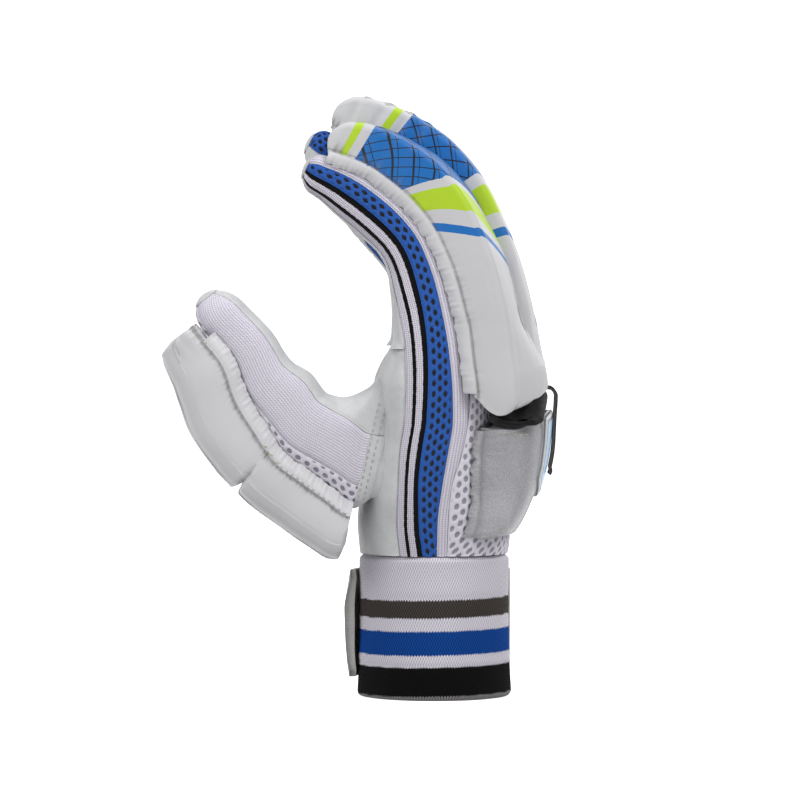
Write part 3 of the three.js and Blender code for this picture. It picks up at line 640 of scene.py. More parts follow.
class Shader:
    """A material's node tree with short calls for the nodes that the finishes share."""

    def __init__(self, name: str, roughness: float, **sockets: float) -> None:
        """Starts a material with one principled shader and fixed socket values."""
        self.material = bpy.data.materials.new(name)
        self.material.use_nodes = True
        self.nodes = self.material.node_tree.nodes
        self.links = self.material.node_tree.links
        self.surface = self.nodes["Principled BSDF"]
        self.surface.inputs["Roughness"].default_value = roughness
        for key, value in sockets.items():
            self.surface.inputs[key.replace("_", " ")].default_value = value

    def add(self, kind: str, inputs: dict | None = None, **settings: object) -> bpy.types.Node:
        """New node with its settings and with its inputs linked or set."""
        node = self.nodes.new(kind)
        for key, value in settings.items():
            setattr(node, key, value)
        for key, value in (inputs or {}).items():
            if isinstance(value, Socket):
                self.links.new(value, node.inputs[key])
            else:
                node.inputs[key].default_value = value
        return node

    def place(self) -> Socket:
        """Object coordinates, in metres."""
        return self.add("ShaderNodeTexCoord").outputs["Object"]

    def value(self, attribute: str) -> Socket:
        """A point attribute of the mesh as a number."""
        return self.add("ShaderNodeAttribute", attribute_name=attribute).outputs["Fac"]

    def math(self, operation: str, a: object, b: object = 0.0, c: object = 0.0) -> Socket:
        """One step of arithmetic."""
        return self.add("ShaderNodeMath", {0: a, 1: b, 2: c}, operation=operation).outputs[0]

    def scaled(self, value: object, by: object, more: object) -> Socket:
        """A value times one number plus another."""
        return self.math("MULTIPLY_ADD", value, by, more)

    def times(self, a: object, b: object) -> Socket:
        """Product of two values."""
        return self.math("MULTIPLY", a, b)

    def plus(self, a: object, b: object) -> Socket:
        """Sum of two values."""
        return self.math("ADD", a, b)

    def between(self, value: object, low: object, high: object) -> Socket:
        """One where a value lies between two limits, else zero."""
        above = self.math("GREATER_THAN", value, low)
        return self.math("MULTIPLY", above, self.math("LESS_THAN", value, high))

    def wave(self, value: object, period: float) -> Socket:
        """Cosine of a value with the given period, from -1 to 1."""
        return self.math("COSINE", self.math("MULTIPLY", value, 2 * math.pi / period))

    def noise(self, scale: float, detail: float = 3.0) -> Socket:
        """Fractal noise in object space, scale in cells a metre."""
        return self.add("ShaderNodeTexNoise", {"Vector": self.place(), "Scale": scale,
                                               "Detail": detail}).outputs["Fac"]

    def cells(self, scale: float, feature: str = "F1") -> Socket:
        """Distance in a cell pattern in object space, scale in cells a metre."""
        return self.add("ShaderNodeTexVoronoi", {"Vector": self.place(), "Scale": scale},
                        feature=feature).outputs["Distance"]

    def mix(self, share: object, a: object, b: object) -> Socket:
        """Colour between a and b, each a socket or a six-digit code."""
        a, b = (linear(c) if isinstance(c, str) else c for c in (a, b))
        return self.add("ShaderNodeMix", {0: share, 6: a, 7: b}, data_type="RGBA").outputs[2]

    def ranged(self, value: object, low: float, high: float, to_low: float,
               to_high: float) -> Socket:
        """A value mapped from one range to another and clamped."""
        return self.add("ShaderNodeMapRange", {"Value": value, "From Min": low, "From Max": high,
                                               "To Min": to_low, "To Max": to_high}).outputs[0]

    def colour(self, socket: object) -> None:
        """Sets the base colour."""
        self.put("Base Color", socket)

    def put(self, name: str, value: object) -> None:
        """Links or sets one socket of the surface."""
        if isinstance(value, Socket):
            self.links.new(value, self.surface.inputs[name])
        else:
            self.surface.inputs[name].default_value = value

    def bump(self, height: object, depth: float, normal: object = None) -> Socket:
        """Bump of a height that runs from 0 to 1 over a depth in millimetres."""
        inputs = {"Height": height, "Distance": depth * MM, "Strength": 1.0}
        if normal is not None:
            inputs["Normal"] = normal
        result = self.add("ShaderNodeBump", inputs).outputs[0]
        self.put("Normal", result)
        return result


@dataclass(frozen=True)
class LeatherFinish:
    """Soft leather: fine pebble grain with painted shade in its sunken pores, faint creases and patches
    of handling.
    """

    name: str
    base: str
    shade: str
    # pore colour: painted shade in the sunken middles of the grain's pores
    pore: str = "8f8f90"
    grain: float = 1400.0
    roughness: float = 0.62

    def build(self) -> Material:
        """The material."""
        s = Shader(self.name, self.roughness, Sheen_Weight=0.15)
        patches = s.ranged(s.noise(55, 4), 0.35, 0.7, 0, 1)
        tint = s.mix(patches, self.base, self.shade)
        pores = s.ranged(s.cells(self.grain), 0.0, 0.6, 0, 1)
        # painted shade: the sunken pore middles are darkened towards the pore colour
        pore_shade = s.times(s.math("SUBTRACT", 1.0, pores), 0.16)
        s.colour(s.mix(pore_shade, tint, self.pore))
        normal = s.bump(pores, 0.05)
        s.bump(s.noise(130, 5), 0.5, normal)
        return s.material


@dataclass(frozen=True)
class KnitFinish:
    """Fine knit: loops in rows and columns from the piece's own lengths, soft and matt, with painted
    shade in the hollows between the loops.
    """

    name: str
    base: str
    # shade colour: painted shade in the hollows between the loops
    shade: str
    wale: float = 1.3
    course: float = 1.05
    depth: float = 0.24

    def build(self) -> Material:
        """The material."""
        s = Shader(self.name, 0.92, Sheen_Weight=0.1)
        along, across = s.value("along"), s.value("across")
        lean = s.math("ABSOLUTE", s.wave(across, self.wale * 2))
        shifted = s.scaled(lean, self.course * 0.8, along)
        loops = s.scaled(s.wave(shifted, self.course), 0.5, 0.5)
        columns = s.scaled(s.wave(across, self.wale), 0.5, 0.5)
        height = s.times(s.plus(loops, columns), 0.5)
        soft = s.scaled(s.noise(900, 3), 0.35, height)
        # painted shade: the low parts between the loops take the shade colour
        s.colour(s.mix(s.ranged(soft, 0.3, 0.95, 1, 0), self.base, self.shade))
        s.bump(soft, self.depth)
        return s.material


@dataclass(frozen=True)
class NetFinish:
    """Open net: strands over holes coloured with painted shade, read from the mesh's pore value. The
    lighter fibre colour is partly random tone and partly a painted highlight on the raised fibres.
    """

    name: str
    strand: str
    # lighter fibre colour: partly random tone, partly a painted highlight on the raised fibres
    fibre_highlight: str
    # hole colour: painted shade inside the holes
    hole: str
    thread: float = 0.55

    def build(self) -> Material:
        """The material."""
        s = Shader(self.name, 0.85)
        along, across = s.value("along"), s.value("across")
        twist = s.wave(s.plus(along, across), self.thread)
        fibre = s.scaled(twist, 0.25, s.noise(1500, 2))
        # partly painted highlight: the raised fibres take the lighter colour
        strand = s.mix(s.ranged(fibre, 0.2, 0.9, 0, 1), self.strand, self.fibre_highlight)
        # painted shade: the sunken holes take the dark hole colour
        edge = s.ranged(s.value("pore"), 0.25, 0.6, 0, 1)
        s.colour(s.mix(edge, strand, self.hole))
        s.bump(fibre, 0.14)
        return s.material


@dataclass(frozen=True)
class RibTapeFinish:
    """Ribbed white tape with two black stripes along it, and painted shade in the dips between its ribs
    and picks.
    """

    name: str
    base: str
    shade: str
    black: str
    first: tuple[float, float] = (0.36, 0.52)
    second: tuple[float, float] = (0.80, 1.1)

    def build(self) -> Material:
        """The material."""
        s = Shader(self.name, 0.9, Specular_IOR_Level=0.15)
        along, across, share = s.value("along"), s.value("across"), s.value("share")
        ribs = s.scaled(s.wave(across, 0.85), 0.5, 0.5)
        picks = s.scaled(s.wave(along, 0.9), 0.5, 0.5)
        height = s.plus(s.times(ribs, 0.6), s.times(picks, 0.4))
        # painted shade: the low parts of the ribs and picks take the shade colour
        white = s.mix(s.ranged(height, 0.1, 0.8, 1, 0), self.base, self.shade)
        rough = s.scaled(s.noise(700, 2), 0.05, -0.025)
        moved = s.plus(share, rough)
        one = s.between(moved, *self.first)
        two = s.between(moved, *self.second)
        stripe = s.math("MAXIMUM", one, two)
        s.colour(s.mix(stripe, white, self.black))
        s.bump(height, 0.22)
        return s.material


@dataclass(frozen=True)
class CuffFinish:
    """Pebbly ribbed knit with three coloured bands and a pale hem, by height, and painted shade in the
    hollows between the loops.
    """

    name: str
    base: str
    bands: tuple[tuple[float, float, str], ...]
    # these two colours are painted shade in the loops' hollows, on the white knit and on the bands
    shade: str = "8f899c"
    pit_shade: str = "060607"

    def build(self) -> Material:
        """The material."""
        s = Shader(self.name, 0.95, Specular_IOR_Level=0.12)
        along, across = s.value("along"), s.value("across")
        loop = s.value("loop")
        sideways = s.add("ShaderNodeSeparateXYZ", {0: s.place()}).outputs["X"]
        slope = s.times(sideways, -0.017 / MM)
        ragged = s.scaled(s.wave(across, 1.45), 0.32, slope)
        level = s.plus(along, s.scaled(s.noise(500, 2), 0.6, ragged))
        # painted shade: the hollows between the loops take the shade colour
        tint = s.mix(s.ranged(loop, 0.0, 0.9, 1, 0), self.base, self.shade)
        for low, high, code in self.bands:
            # painted shade: each band darkens to near black in the loops' hollows
            dark = s.mix(s.ranged(loop, 0.0, 0.8, 1, 0), code, self.pit_shade)
            tint = s.mix(s.between(level, low, high), tint, dark)
        s.colour(tint)
        s.bump(s.noise(1900, 3), 0.16)
        return s.material


@dataclass(frozen=True)
class RollFinish:
    """Smooth white coated leather of the padded rolls, with the printed bands where asked, and painted
    shade in the seam dips, folds and gather hollows.

    The print runs on three values of the mesh: tipward is the distance from the finger's root,
    slant is tipward plus the chevron's rise over the roll, around is the distance round it.
    """

    name: str
    base: str
    shade: str
    printed: bool
    blue: str = "0a68b4"
    lime: str = "aecf22"
    ink: str = "0b1420"
    # colour of the painted shade in seam dips, folds, gather hollows and welt edges
    painted_shade_colour: str = "8d8a86"
    lattice_span: tuple[float, float] = (63.4, 84.0)
    tip_band: tuple[float, float] = (87.3, 90.0)
    root_band: tuple[float, float] = (53.0, 60.4)
    thin_line: tuple[float, float] = (45.6, 48.4)

    def build(self) -> Material:
        """The material."""
        s = Shader(self.name, 0.42, Specular_IOR_Level=0.35)
        grain = s.ranged(s.cells(2300), 0.0, 0.7, 0, 1)
        shade = s.ranged(s.noise(40, 3), 0.4, 0.75, 0, 0.35)
        tint = s.mix(shade, self.base, self.shade)
        if self.printed:
            tint = self.bands(s, tint)
        # painted shade: the roll's colour darkens by its shade mask in seam dips, folds, gather hollows
        # and welt edges
        s.colour(s.mix(s.times(s.value("crease"), 0.55), tint, self.painted_shade_colour))
        normal = s.bump(grain, 0.018)
        s.bump(s.noise(90, 5), 0.22, normal)
        return s.material

    def bands(self, s: Shader, tint: object) -> Socket:
        """Adds the printed bands: two lime bands, a blue lattice field and a thin blue line."""
        along, slant, around = s.value("tipward"), s.value("slant"), s.value("around")
        ragged = s.scaled(s.noise(1200, 1), 0.2, -0.1)
        along = s.plus(along, ragged)
        slant = s.plus(slant, ragged)
        field_on = s.times(s.math("GREATER_THAN", slant, self.lattice_span[0]),
                           s.math("LESS_THAN", along, self.lattice_span[1]))
        lattice = None
        for turn, period, width in ((0.9, 7.0, 0.09), (-0.9, 7.0, 0.09), (0.9, 7.0, 0.03)):
            axis = s.scaled(around, turn, slant)
            if width < 0.05:
                axis = s.plus(axis, 1.6)
            saw = s.math("FRACT", s.math("DIVIDE", axis, period))
            line = s.math("LESS_THAN", saw, width * 1.1)
            lattice = line if lattice is None else s.math("MAXIMUM", lattice, line)
        field = s.mix(lattice, self.blue, self.ink)
        tint = s.mix(field_on, tint, field)
        lime = s.math("MAXIMUM", s.between(along, *self.tip_band), s.between(slant, *self.root_band))
        tint = s.mix(lime, tint, self.lime)
        return s.mix(s.between(slant, *self.thin_line), tint, self.blue)


@dataclass(frozen=True)
class SilverFinish:
    """Silver coated leather with a fine crackle, duller in the cracks."""

    name: str
    dull: str = "76767a"
    bright: str = "a6a6a9"

    def build(self) -> Material:
        """The material."""
        s = Shader(self.name, 0.42, Metallic=0.6)
        grain = s.ranged(s.cells(2600, "DISTANCE_TO_EDGE"), 0.0, 0.25, 0, 1)
        worn = s.ranged(s.noise(70, 2), 0.35, 0.7, 0, 1)
        s.colour(s.mix(s.scaled(worn, 0.25, s.times(grain, 0.75)),
                       self.dull, self.bright))
        s.put("Roughness", s.ranged(grain, 0, 1, 0.6, 0.4))
        normal = s.bump(grain, 0.05)
        s.bump(s.noise(90, 3), 0.25, normal)
        return s.material


@dataclass(frozen=True)
class WovenFinish:
    """Plain woven tape or cloth in one colour, threads crossing at a set pitch, mottled at random and
    with painted shade where the threads dip.
    """

    name: str
    base: str
    shade: str
    pitch: float = 0.7
    roughness: float = 0.85

    def build(self) -> Material:
        """The material."""
        s = Shader(self.name, self.roughness)
        along, across = s.value("along"), s.value("across")
        weave = s.times(s.wave(along, self.pitch), s.wave(across, self.pitch))
        height = s.scaled(weave, 0.5, 0.5)
        # the colour is half random mottling and half painted shade where the threads dip
        mottled = s.scaled(s.noise(600, 3), 0.5, s.times(height, 0.5))
        s.colour(s.mix(mottled, self.shade, self.base))
        s.bump(height, 0.12)
        return s.material


@dataclass(frozen=True)
class BadgeFinish:
    """Soft moulded panel: pale blue field inside a dark line inside a silver edge."""

    name: str
    blues: tuple[str, str] = ("7fb2dd", "8fbfe6")
    diamond: str = "dfe9f2"
    line: str = "1c2126"
    edge: str = "c9ccd0"

    def build(self) -> Material:
        """The material."""
        s = Shader(self.name, 0.4, Coat_Weight=0.1)
        rim = s.value("rim")
        field = s.mix(s.ranged(s.noise(700, 3), 0.3, 0.7, 0, 1), *self.blues)
        weave = s.times(s.wave(s.value("along"), 5.0), s.wave(s.value("across"), 5.0))
        diamonds = s.math("GREATER_THAN", weave, 0.55)
        field = s.mix(s.times(diamonds, 0.35), field, self.diamond)
        tint = s.mix(s.math("LESS_THAN", rim, 3.0), field, self.line)
        tint = s.mix(s.math("LESS_THAN", rim, 1.6), tint, self.edge)
        s.colour(tint)
        s.bump(s.ranged(rim, 1.5, 3.1, 1, 0), 0.4)
        return s.material


@dataclass(frozen=True)
class ThreadFinish:
    """Twisted sewing thread."""

    name: str
    base: str
    shade: str = "6f6b60"

    def build(self) -> Material:
        """The material."""
        s = Shader(self.name, 0.7, Sheen_Weight=0.3)
        fibre = s.noise(2600, 2)
        s.colour(s.mix(fibre, self.base, self.shade))
        s.bump(fibre, 0.06)
        return s.material


class Wardrobe:
    """Every finish of the glove, built once."""

    def __init__(self) -> None:
        """Builds the materials."""
        self.palm = LeatherFinish("palm_leather", "d2d3d4", "bcbdbf").build()
        self.knit = KnitFinish("white_knit", "e9e5f0", "b3adc0").build()
        self.fine_knit = KnitFinish("thumb_knit", "ebe7f1", "b9b3c5", 1.15, 0.95, 0.2).build()
        self.blue_net = NetFinish("blue_net", "0c4596", "1f66c4", "02040a").build()
        self.air_net = NetFinish("air_net", "dfdbe6", "ebe8f0", "9d97a8").build()
        self.tape = RibTapeFinish("striped_tape", "e9e5ef", "b0aabb", "030304").build()
        self.cuff = CuffFinish("cuff_knit", "f0edf4", (
            (-2.0, 1.7, "9a9797"), (1.7, 14.0, "030304"), (19.1, 29.3, "0f4fa8"),
            (34.9, 42.5, "4d4744"))).build()
        self.roll = RollFinish("white_roll", "cfcfd2", "c2c1c4", False).build()
        self.print = RollFinish("printed_roll", "c8c8cb", "bcbbbe", True).build()
        self.silver = SilverFinish("silver_leather").build()
        self.black = WovenFinish("black_cloth", "0f0f11", "030304").build()
        self.tab = WovenFinish("dark_tab", "57524f", "35312f").build()
        self.strap = WovenFinish("strap_band", "c9c8c4", "aaa8a3", 0.9).build()
        self.badge = BadgeFinish("badge_panel").build()
        self.cream = ThreadFinish("cream_thread", "d8d3b4").build()
        self.white_thread = ThreadFinish("white_thread", "d9d6dd").build()
        self.lime_thread = ThreadFinish("lime_thread", "a8cf4a").build()


def dress(piece: Piece, nodes: Sequence[str],
          material: Material) -> Piece:
    """Gives a piece its finish, the body it rides on and the nodes it stands for.

    Args:
        piece: the finished piece.
        nodes: names of the frame's nodes that it replaces.
        material: its finish.

    Returns:
        The same piece.
    """
    piece.data.materials.append(material)
    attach(piece, BODY)
    if nodes:
        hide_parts(*nodes)
    LOG.info("%s: %d faces, stands for %s", piece.name, len(piece.data.polygons),
             ", ".join(nodes) or "no node")
    return piece


# Surface relief: functions of the lengths along and across a panel, in millimetres

Relief = Callable[[Array, Array], tuple[Array, Array]]


def plain_relief(along: Array, across: Array) -> tuple[Array, Array]:
    """No relief and no holes."""
    return np.zeros_like(along), np.zeros_like(along)


def net_relief(pitch: tuple[float, float], hole: tuple[float, float], power: float,
               depth: float) -> Relief:
    """Relief of a net whose holes stand in staggered rows.

    A hole is where (|a| / hole length)^power + (|b| / hole width)^power < 1, with a and b the
    distances to the nearest hole's middle: power 2 gives an oval and 1.3 nearly a diamond.

    Args:
        pitch: distance between holes in one line, along the panel and across it.
        hole: half length of a hole along the panel and half width across it.
        power: shape of a hole.
        depth: how far a hole sinks.

    Returns:
        The relief function.
    """
    def relief(along: Array, across: Array) -> tuple[Array, Array]:
        """Sunk holes, and one inside them."""
        near = np.full(along.shape, 9.0)
        for shift in (0.0, 0.5):
            a = ((along / pitch[0] + shift) % 1 - 0.5) * pitch[0]
            b = ((across / pitch[1] + shift) % 1 - 0.5) * pitch[1]
            near = np.minimum(near, np.abs(a / hole[0]) ** power + np.abs(b / hole[1]) ** power)
        pore = 1 - smoothstep(0.6, 1.25, near)
        return -depth * pore, pore
    return relief


BLUE_NET = net_relief((4.6, 5.0), (1.5, 0.95), 1.3, 0.7)
AIR_NET = net_relief((4.8, 6.4), (1.35, 1.15), 2.0, 0.55)


def rib_relief(along: Array, across: Array) -> tuple[Array, Array]:
    """Low ribs along a tape, a cosine across it."""
    return 0.12 * np.cos(2 * math.pi * across / 1.7), np.zeros_like(along)


def crease_relief(depth: float, pitch: float, seed: float) -> Relief:
    """Soft irregular creases of worn leather: a narrow dip wherever a slow wave passes zero."""
    def relief(along: Array, across: Array) -> tuple[Array, Array]:
        """Dips along the wave's zero lines, over gentle swells."""
        wave = wobble(along / pitch, across / (1.6 * pitch), seed)
        dips = np.exp(-(wave / 0.16) ** 2) * (0.5 + 0.5 * wobble(across / 9, along / 14, seed + 2))
        swell = 0.35 * depth * wobble(along / 11, across / 8, seed + 5)
        return -depth * np.clip(dips, 0, 1) + swell, dips * 0
    return relief


@dataclass
class Panel:
    """A panel of cloth or leather over part of a limb's outline, as a closed thin body."""

    name: str
    stations: Stations
    start: Array
    end: Array
    rows: int
    columns: int
    wall: float = 1.5
    step: int = 4
    tuck: float = 0.5
    tuck_width: float = 0.9
    relief: Relief = plain_relief
    shape: Callable[[Array], Array] | None = None
    calm: tuple[float, float, int] | None = None

    def lines(self, inset: float, columns: int, margin: float) -> Array:
        """Points at equal lengths between the panel's two edges, for every station.

        Args:
            inset: distance inside the outline.
            columns: number of points across.
            margin: length left free at both edges.

        Returns:
            A grid of points.
        """
        share = np.linspace(0, 1, 120)
        angle = self.start[:, None] + (self.end - self.start)[:, None] * share
        fine = self.stations.outline(angle, inset)
        length = arc_lengths(fine, 1)
        out = np.empty((len(fine), columns, 3))
        for i in range(len(fine)):
            wanted = np.linspace(margin, length[i, -1] - margin, columns)
            for k in range(3):
                out[i, :, k] = np.interp(wanted, length[i], fine[i, :, k])
        return out

    def build(self) -> Piece:
        """Builds the panel with its relief and tucked seams."""
        rows = self.step * max(1, round((self.rows - 1) / self.step)) + 1
        columns = self.step * max(1, round((self.columns - 1) / self.step)) + 1
        outer = refine_rows(self.lines(0.0, columns, 0.08), rows)
        inner = refine_rows(self.lines(self.wall, columns, 0.08), rows)
        if self.calm is not None:
            outer, inner = calmed(outer, *self.calm), calmed(inner, *self.calm)
        if self.shape is not None:
            outer, inner = self.shape(outer), self.shape(inner)
        along = arc_lengths(outer, 0)
        along = along[:, columns // 2][:, None] + np.zeros((rows, columns))
        across = arc_lengths(outer, 1)
        width = across[:, -1:]
        edge = np.minimum(across, width - across)
        normal = grid_normals(outer)
        outwards = np.sign(np.einsum("ijk,ijk->", normal, outer - inner))
        lift, pore = self.relief(along, across)
        fade = 1 - np.exp(-(edge / 1.1) ** 2)
        height = lift * fade - self.tuck * np.exp(-(edge / self.tuck_width) ** 2)
        outer = outer + normal * (outwards * height)[..., None]
        values = {"along": along, "across": across, "pore": pore * fade,
                  "share": across / np.maximum(width, 1e-6)}
        return panel_object(self.name, outer, inner[::self.step, ::self.step], values, self.step)


def ribbon(name: str, start: Array, end: Array, out: Array, rows: int, wave: float,
           thick: float = 0.9, bulge: float = 0.3) -> Piece:
    """Narrow sewn-down edge of leather between two lines, with a wavy free edge.

    A point lies at start + t (end - start) + 4 t (1 - t) bulge out, moved by a wobble that
    grows towards the free edge.

    Args:
        name: the piece's name.
        start: points of the sewn edge.
        end: points of the free edge.
        out: outward direction at those points.
        rows: number of rows, one more than a multiple of 4.
        wave: strength of the gathers in millimetres.
        thick: thickness of the leather.
        bulge: how far the middle stands out.

    Returns:
        The closed strip.
    """
    t = np.linspace(0, 1, 9)[None, :, None]
    grid = start[:, None] * (1 - t) + end[:, None] * t + out[:, None] * (4 * t * (1 - t) * bulge)
    grid = refine_rows(grid, rows)
    along = arc_lengths(grid, 0)[:, 4:5] + 0 * grid[..., 0]
    share = t[..., 0] + 0 * along
    across = unit(grid[:, -1] - grid[:, 0])[:, None]
    normal = grid_normals(grid)
    normal *= np.sign(np.einsum("ijk,ik->", normal, refine_rows(out, rows)))
    grid = grid + across * (share * wave * wobble(along * 0.55, along * 0.21, 1.0))[..., None]
    grid = grid + normal * (share * wave * 0.7 * wobble(along * 1.1, share * 2, 2.0))[..., None]
    skin = thick * (1 - 0.6 * np.abs(2 * share - 1) ** 4)[..., None]
    outer, inner = grid + normal * skin / 2, grid - normal * skin / 2
    # painted shade: a dark line along the free edge, read by the roll finish
    values = {"along": along, "across": arc_lengths(grid, 1), "crease": 0.35 * (share > 0.95)}
    return panel_object(name, outer, inner[::4, ::4], values, 4)


@dataclass
class Cuff:
    """Knitted wrist cuff: an oval tube with pebbly loops, and the strap round its far side.

    The strap's start and end are counted in half turns round the cuff, from the back of the
    hand over the far side.
    """

    wardrobe: Wardrobe
    rows: int = 150
    columns: int = 560
    loop_height: float = 1.28
    loop_width: float = 1.3
    relief: float = 0.42
    hem_height: float = 2.4
    hem_roll: float = 2.0
    top_roll: float = 1.6
    waist: float = 0.5
    strap_start: float = 0.12
    strap_end: float = 1.06
    strap_foot: float = 8.0
    strap_width: float = 46.0
    strap_thickness: float = 2.0
    strap_flare: float = 4.2
    strap_clearance: float = 0.35

    def ring(self, z: Array, angle: Array, inset: Array) -> Array:
        """Points of the oval at heights z, pulled in by inset."""
        swell = 1 - 0.03 * z / SIZES.cuff_height
        x = np.cos(angle) * (SIZES.cuff_depth / 2 * swell - inset)
        y = np.sin(angle) * (SIZES.cuff_width / 2 * swell - inset)
        return np.stack([x, y, z + 0 * angle], axis=-1)

    def band(self) -> Piece:
        """The knitted band: an outer wall of staggered loops, rolled rims and a plain inside."""
        height = np.linspace(0, SIZES.cuff_height, self.rows)[:, None]
        angle = round_angles(self.columns)
        girth = 2 * math.pi * math.sqrt((SIZES.cuff_depth**2 + SIZES.cuff_width**2) / 8)
        across = angle / (2 * math.pi) * girth + 0 * height
        wale = across * (round(girth / self.loop_width) * 2 * math.pi / girth)
        course = math.pi * height / self.loop_height
        loop = 0.5 + 0.5 * np.cos(wale + 0.35 * np.sin(course)) * np.cos(course + 0.4 * np.sin(wale))
        soft = wobble(across / 9, height / 7, 1.3)
        from_hem = np.clip(height / self.hem_height, 0, 1)
        lower = self.hem_roll * (1 - np.sqrt(np.clip(1 - (1 - from_hem) ** 2, 0, 1)))
        upper = self.top_roll * smoothstep(SIZES.cuff_height - 2.0, SIZES.cuff_height, height)
        waist = self.waist * np.sin(math.pi * height / SIZES.cuff_height)
        fold = (0.35 * np.exp(-((height - 14.5) / 1.2) ** 2)
                + 0.25 * np.exp(-((height - 43.5) / 1.5) ** 2))
        inset = lower + upper + waist + fold - self.relief * (loop - 0.5) - 0.25 * soft
        outer = self.ring(height, angle, inset)
        inside = np.array([0.999, 0.97, 0.5, 0.03, 0.001])[:, None] * SIZES.cuff_height
        edge = np.array([0.9, 0.2, 0, 0.2, 1.0])[:, None]
        inner = self.ring(inside, angle, SIZES.cuff_wall - edge)
        points = np.concatenate([outer, inner]).reshape(-1, 3)
        total = self.rows + len(inner)
        body = quads(total, self.columns, 0, True)
        j = np.arange(self.columns)
        k = (j + 1) % self.columns
        last = (total - 1) * self.columns
        close = np.stack([last + j, last + k, k, j], axis=1)
        full = {"along": np.concatenate([height + 0 * angle, inside + 0 * angle]),
                "across": np.concatenate([across, across[:len(inner)]]),
                "loop": np.concatenate([loop, 0.6 + 0 * loop[:len(inner)]])}
        piece = mesh_object("cuff_knit_band", points, [np.concatenate([body, close])], full)
        return dress(piece, ["cuff_band"], self.wardrobe.cuff)

    def strap(self) -> Piece:
        """Hook-and-loop band round the far side, its palm end standing off the cuff."""
        share = np.linspace(0, 1, 121)[None, :]
        rise = np.linspace(0, 1, 41)[:, None]
        angle = (self.strap_start + (self.strap_end - self.strap_start) * share) * math.pi
        stand = smooth_curve([0, 0.12, 0.66, 0.9, 1], [0.4, 0.6, 1, 0.45, 0.2], rise[:, 0])[:, None]
        flare = self.strap_flare * stand * np.clip((share - 0.7) / 0.3, 0, None) ** 2
        corner = 3.0 * np.exp(-((1 - share) / 0.02) ** 2)
        z = self.strap_foot + corner + rise * (self.strap_width - 2 * corner)

        def wall(offset: float, open_share: float) -> Array:
            """Surface of the band at a height over the cuff, with a share of the end's flare."""
            out = self.strap_clearance + offset + flare * open_share + 0.25 * np.sin(8 * rise) * share
            x = np.cos(angle) * (SIZES.cuff_depth / 2 + out)
            y = np.sin(angle) * (SIZES.cuff_width / 2 + out)
            return np.stack([x, y, z + 0 * x], axis=-1)

        outer, inner = wall(self.strap_thickness, 1.0), wall(0.0, 0.4)
        values = {"along": arc_lengths(outer, 0), "across": arc_lengths(outer, 1)}
        piece = panel_object("wrist_strap_band", outer, inner[::4, ::4], values, 4)
        dress(piece, ["wrist_strap"], self.wardrobe.strap)
        return piece


def palm_scallop(grid: Array) -> Array:
    """Palm points pulled back between the fingers near their roots, so that stalls and palm meet.

    The front face follows the rounded fronts of the four stalls, blended in over the last
    centimetres below the roots. The web between thumb and index finger swells outward.

    Args:
        grid: points of the palm.

    Returns:
        The moved points.
    """
    out = grid.copy()
    weight = smoothstep(SIZES.palm_top - 22, SIZES.palm_top, grid[..., 2])
    place = grid[..., 1] / SIZES.pitch
    nearest = np.clip(np.round(place - 0.5) + 0.5, -1.5, 1.5)
    share = np.clip(np.abs(place - nearest) * 2, 0, 1) * (np.abs(place) < 1.5)
    inside = smoothstep(0.0, 6.0, -grid[..., 0] - 4)
    out[..., 0] += weight * 8.5 * share**4 * inside
    web_lateral, web_height = -24.0, 141.0
    web = np.exp(-((grid[..., 2] - web_height) / 18) ** 2
                 - ((grid[..., 1] - web_lateral) / 14) ** 2)
    out[..., 0] -= 7.0 * web * inside
    return out


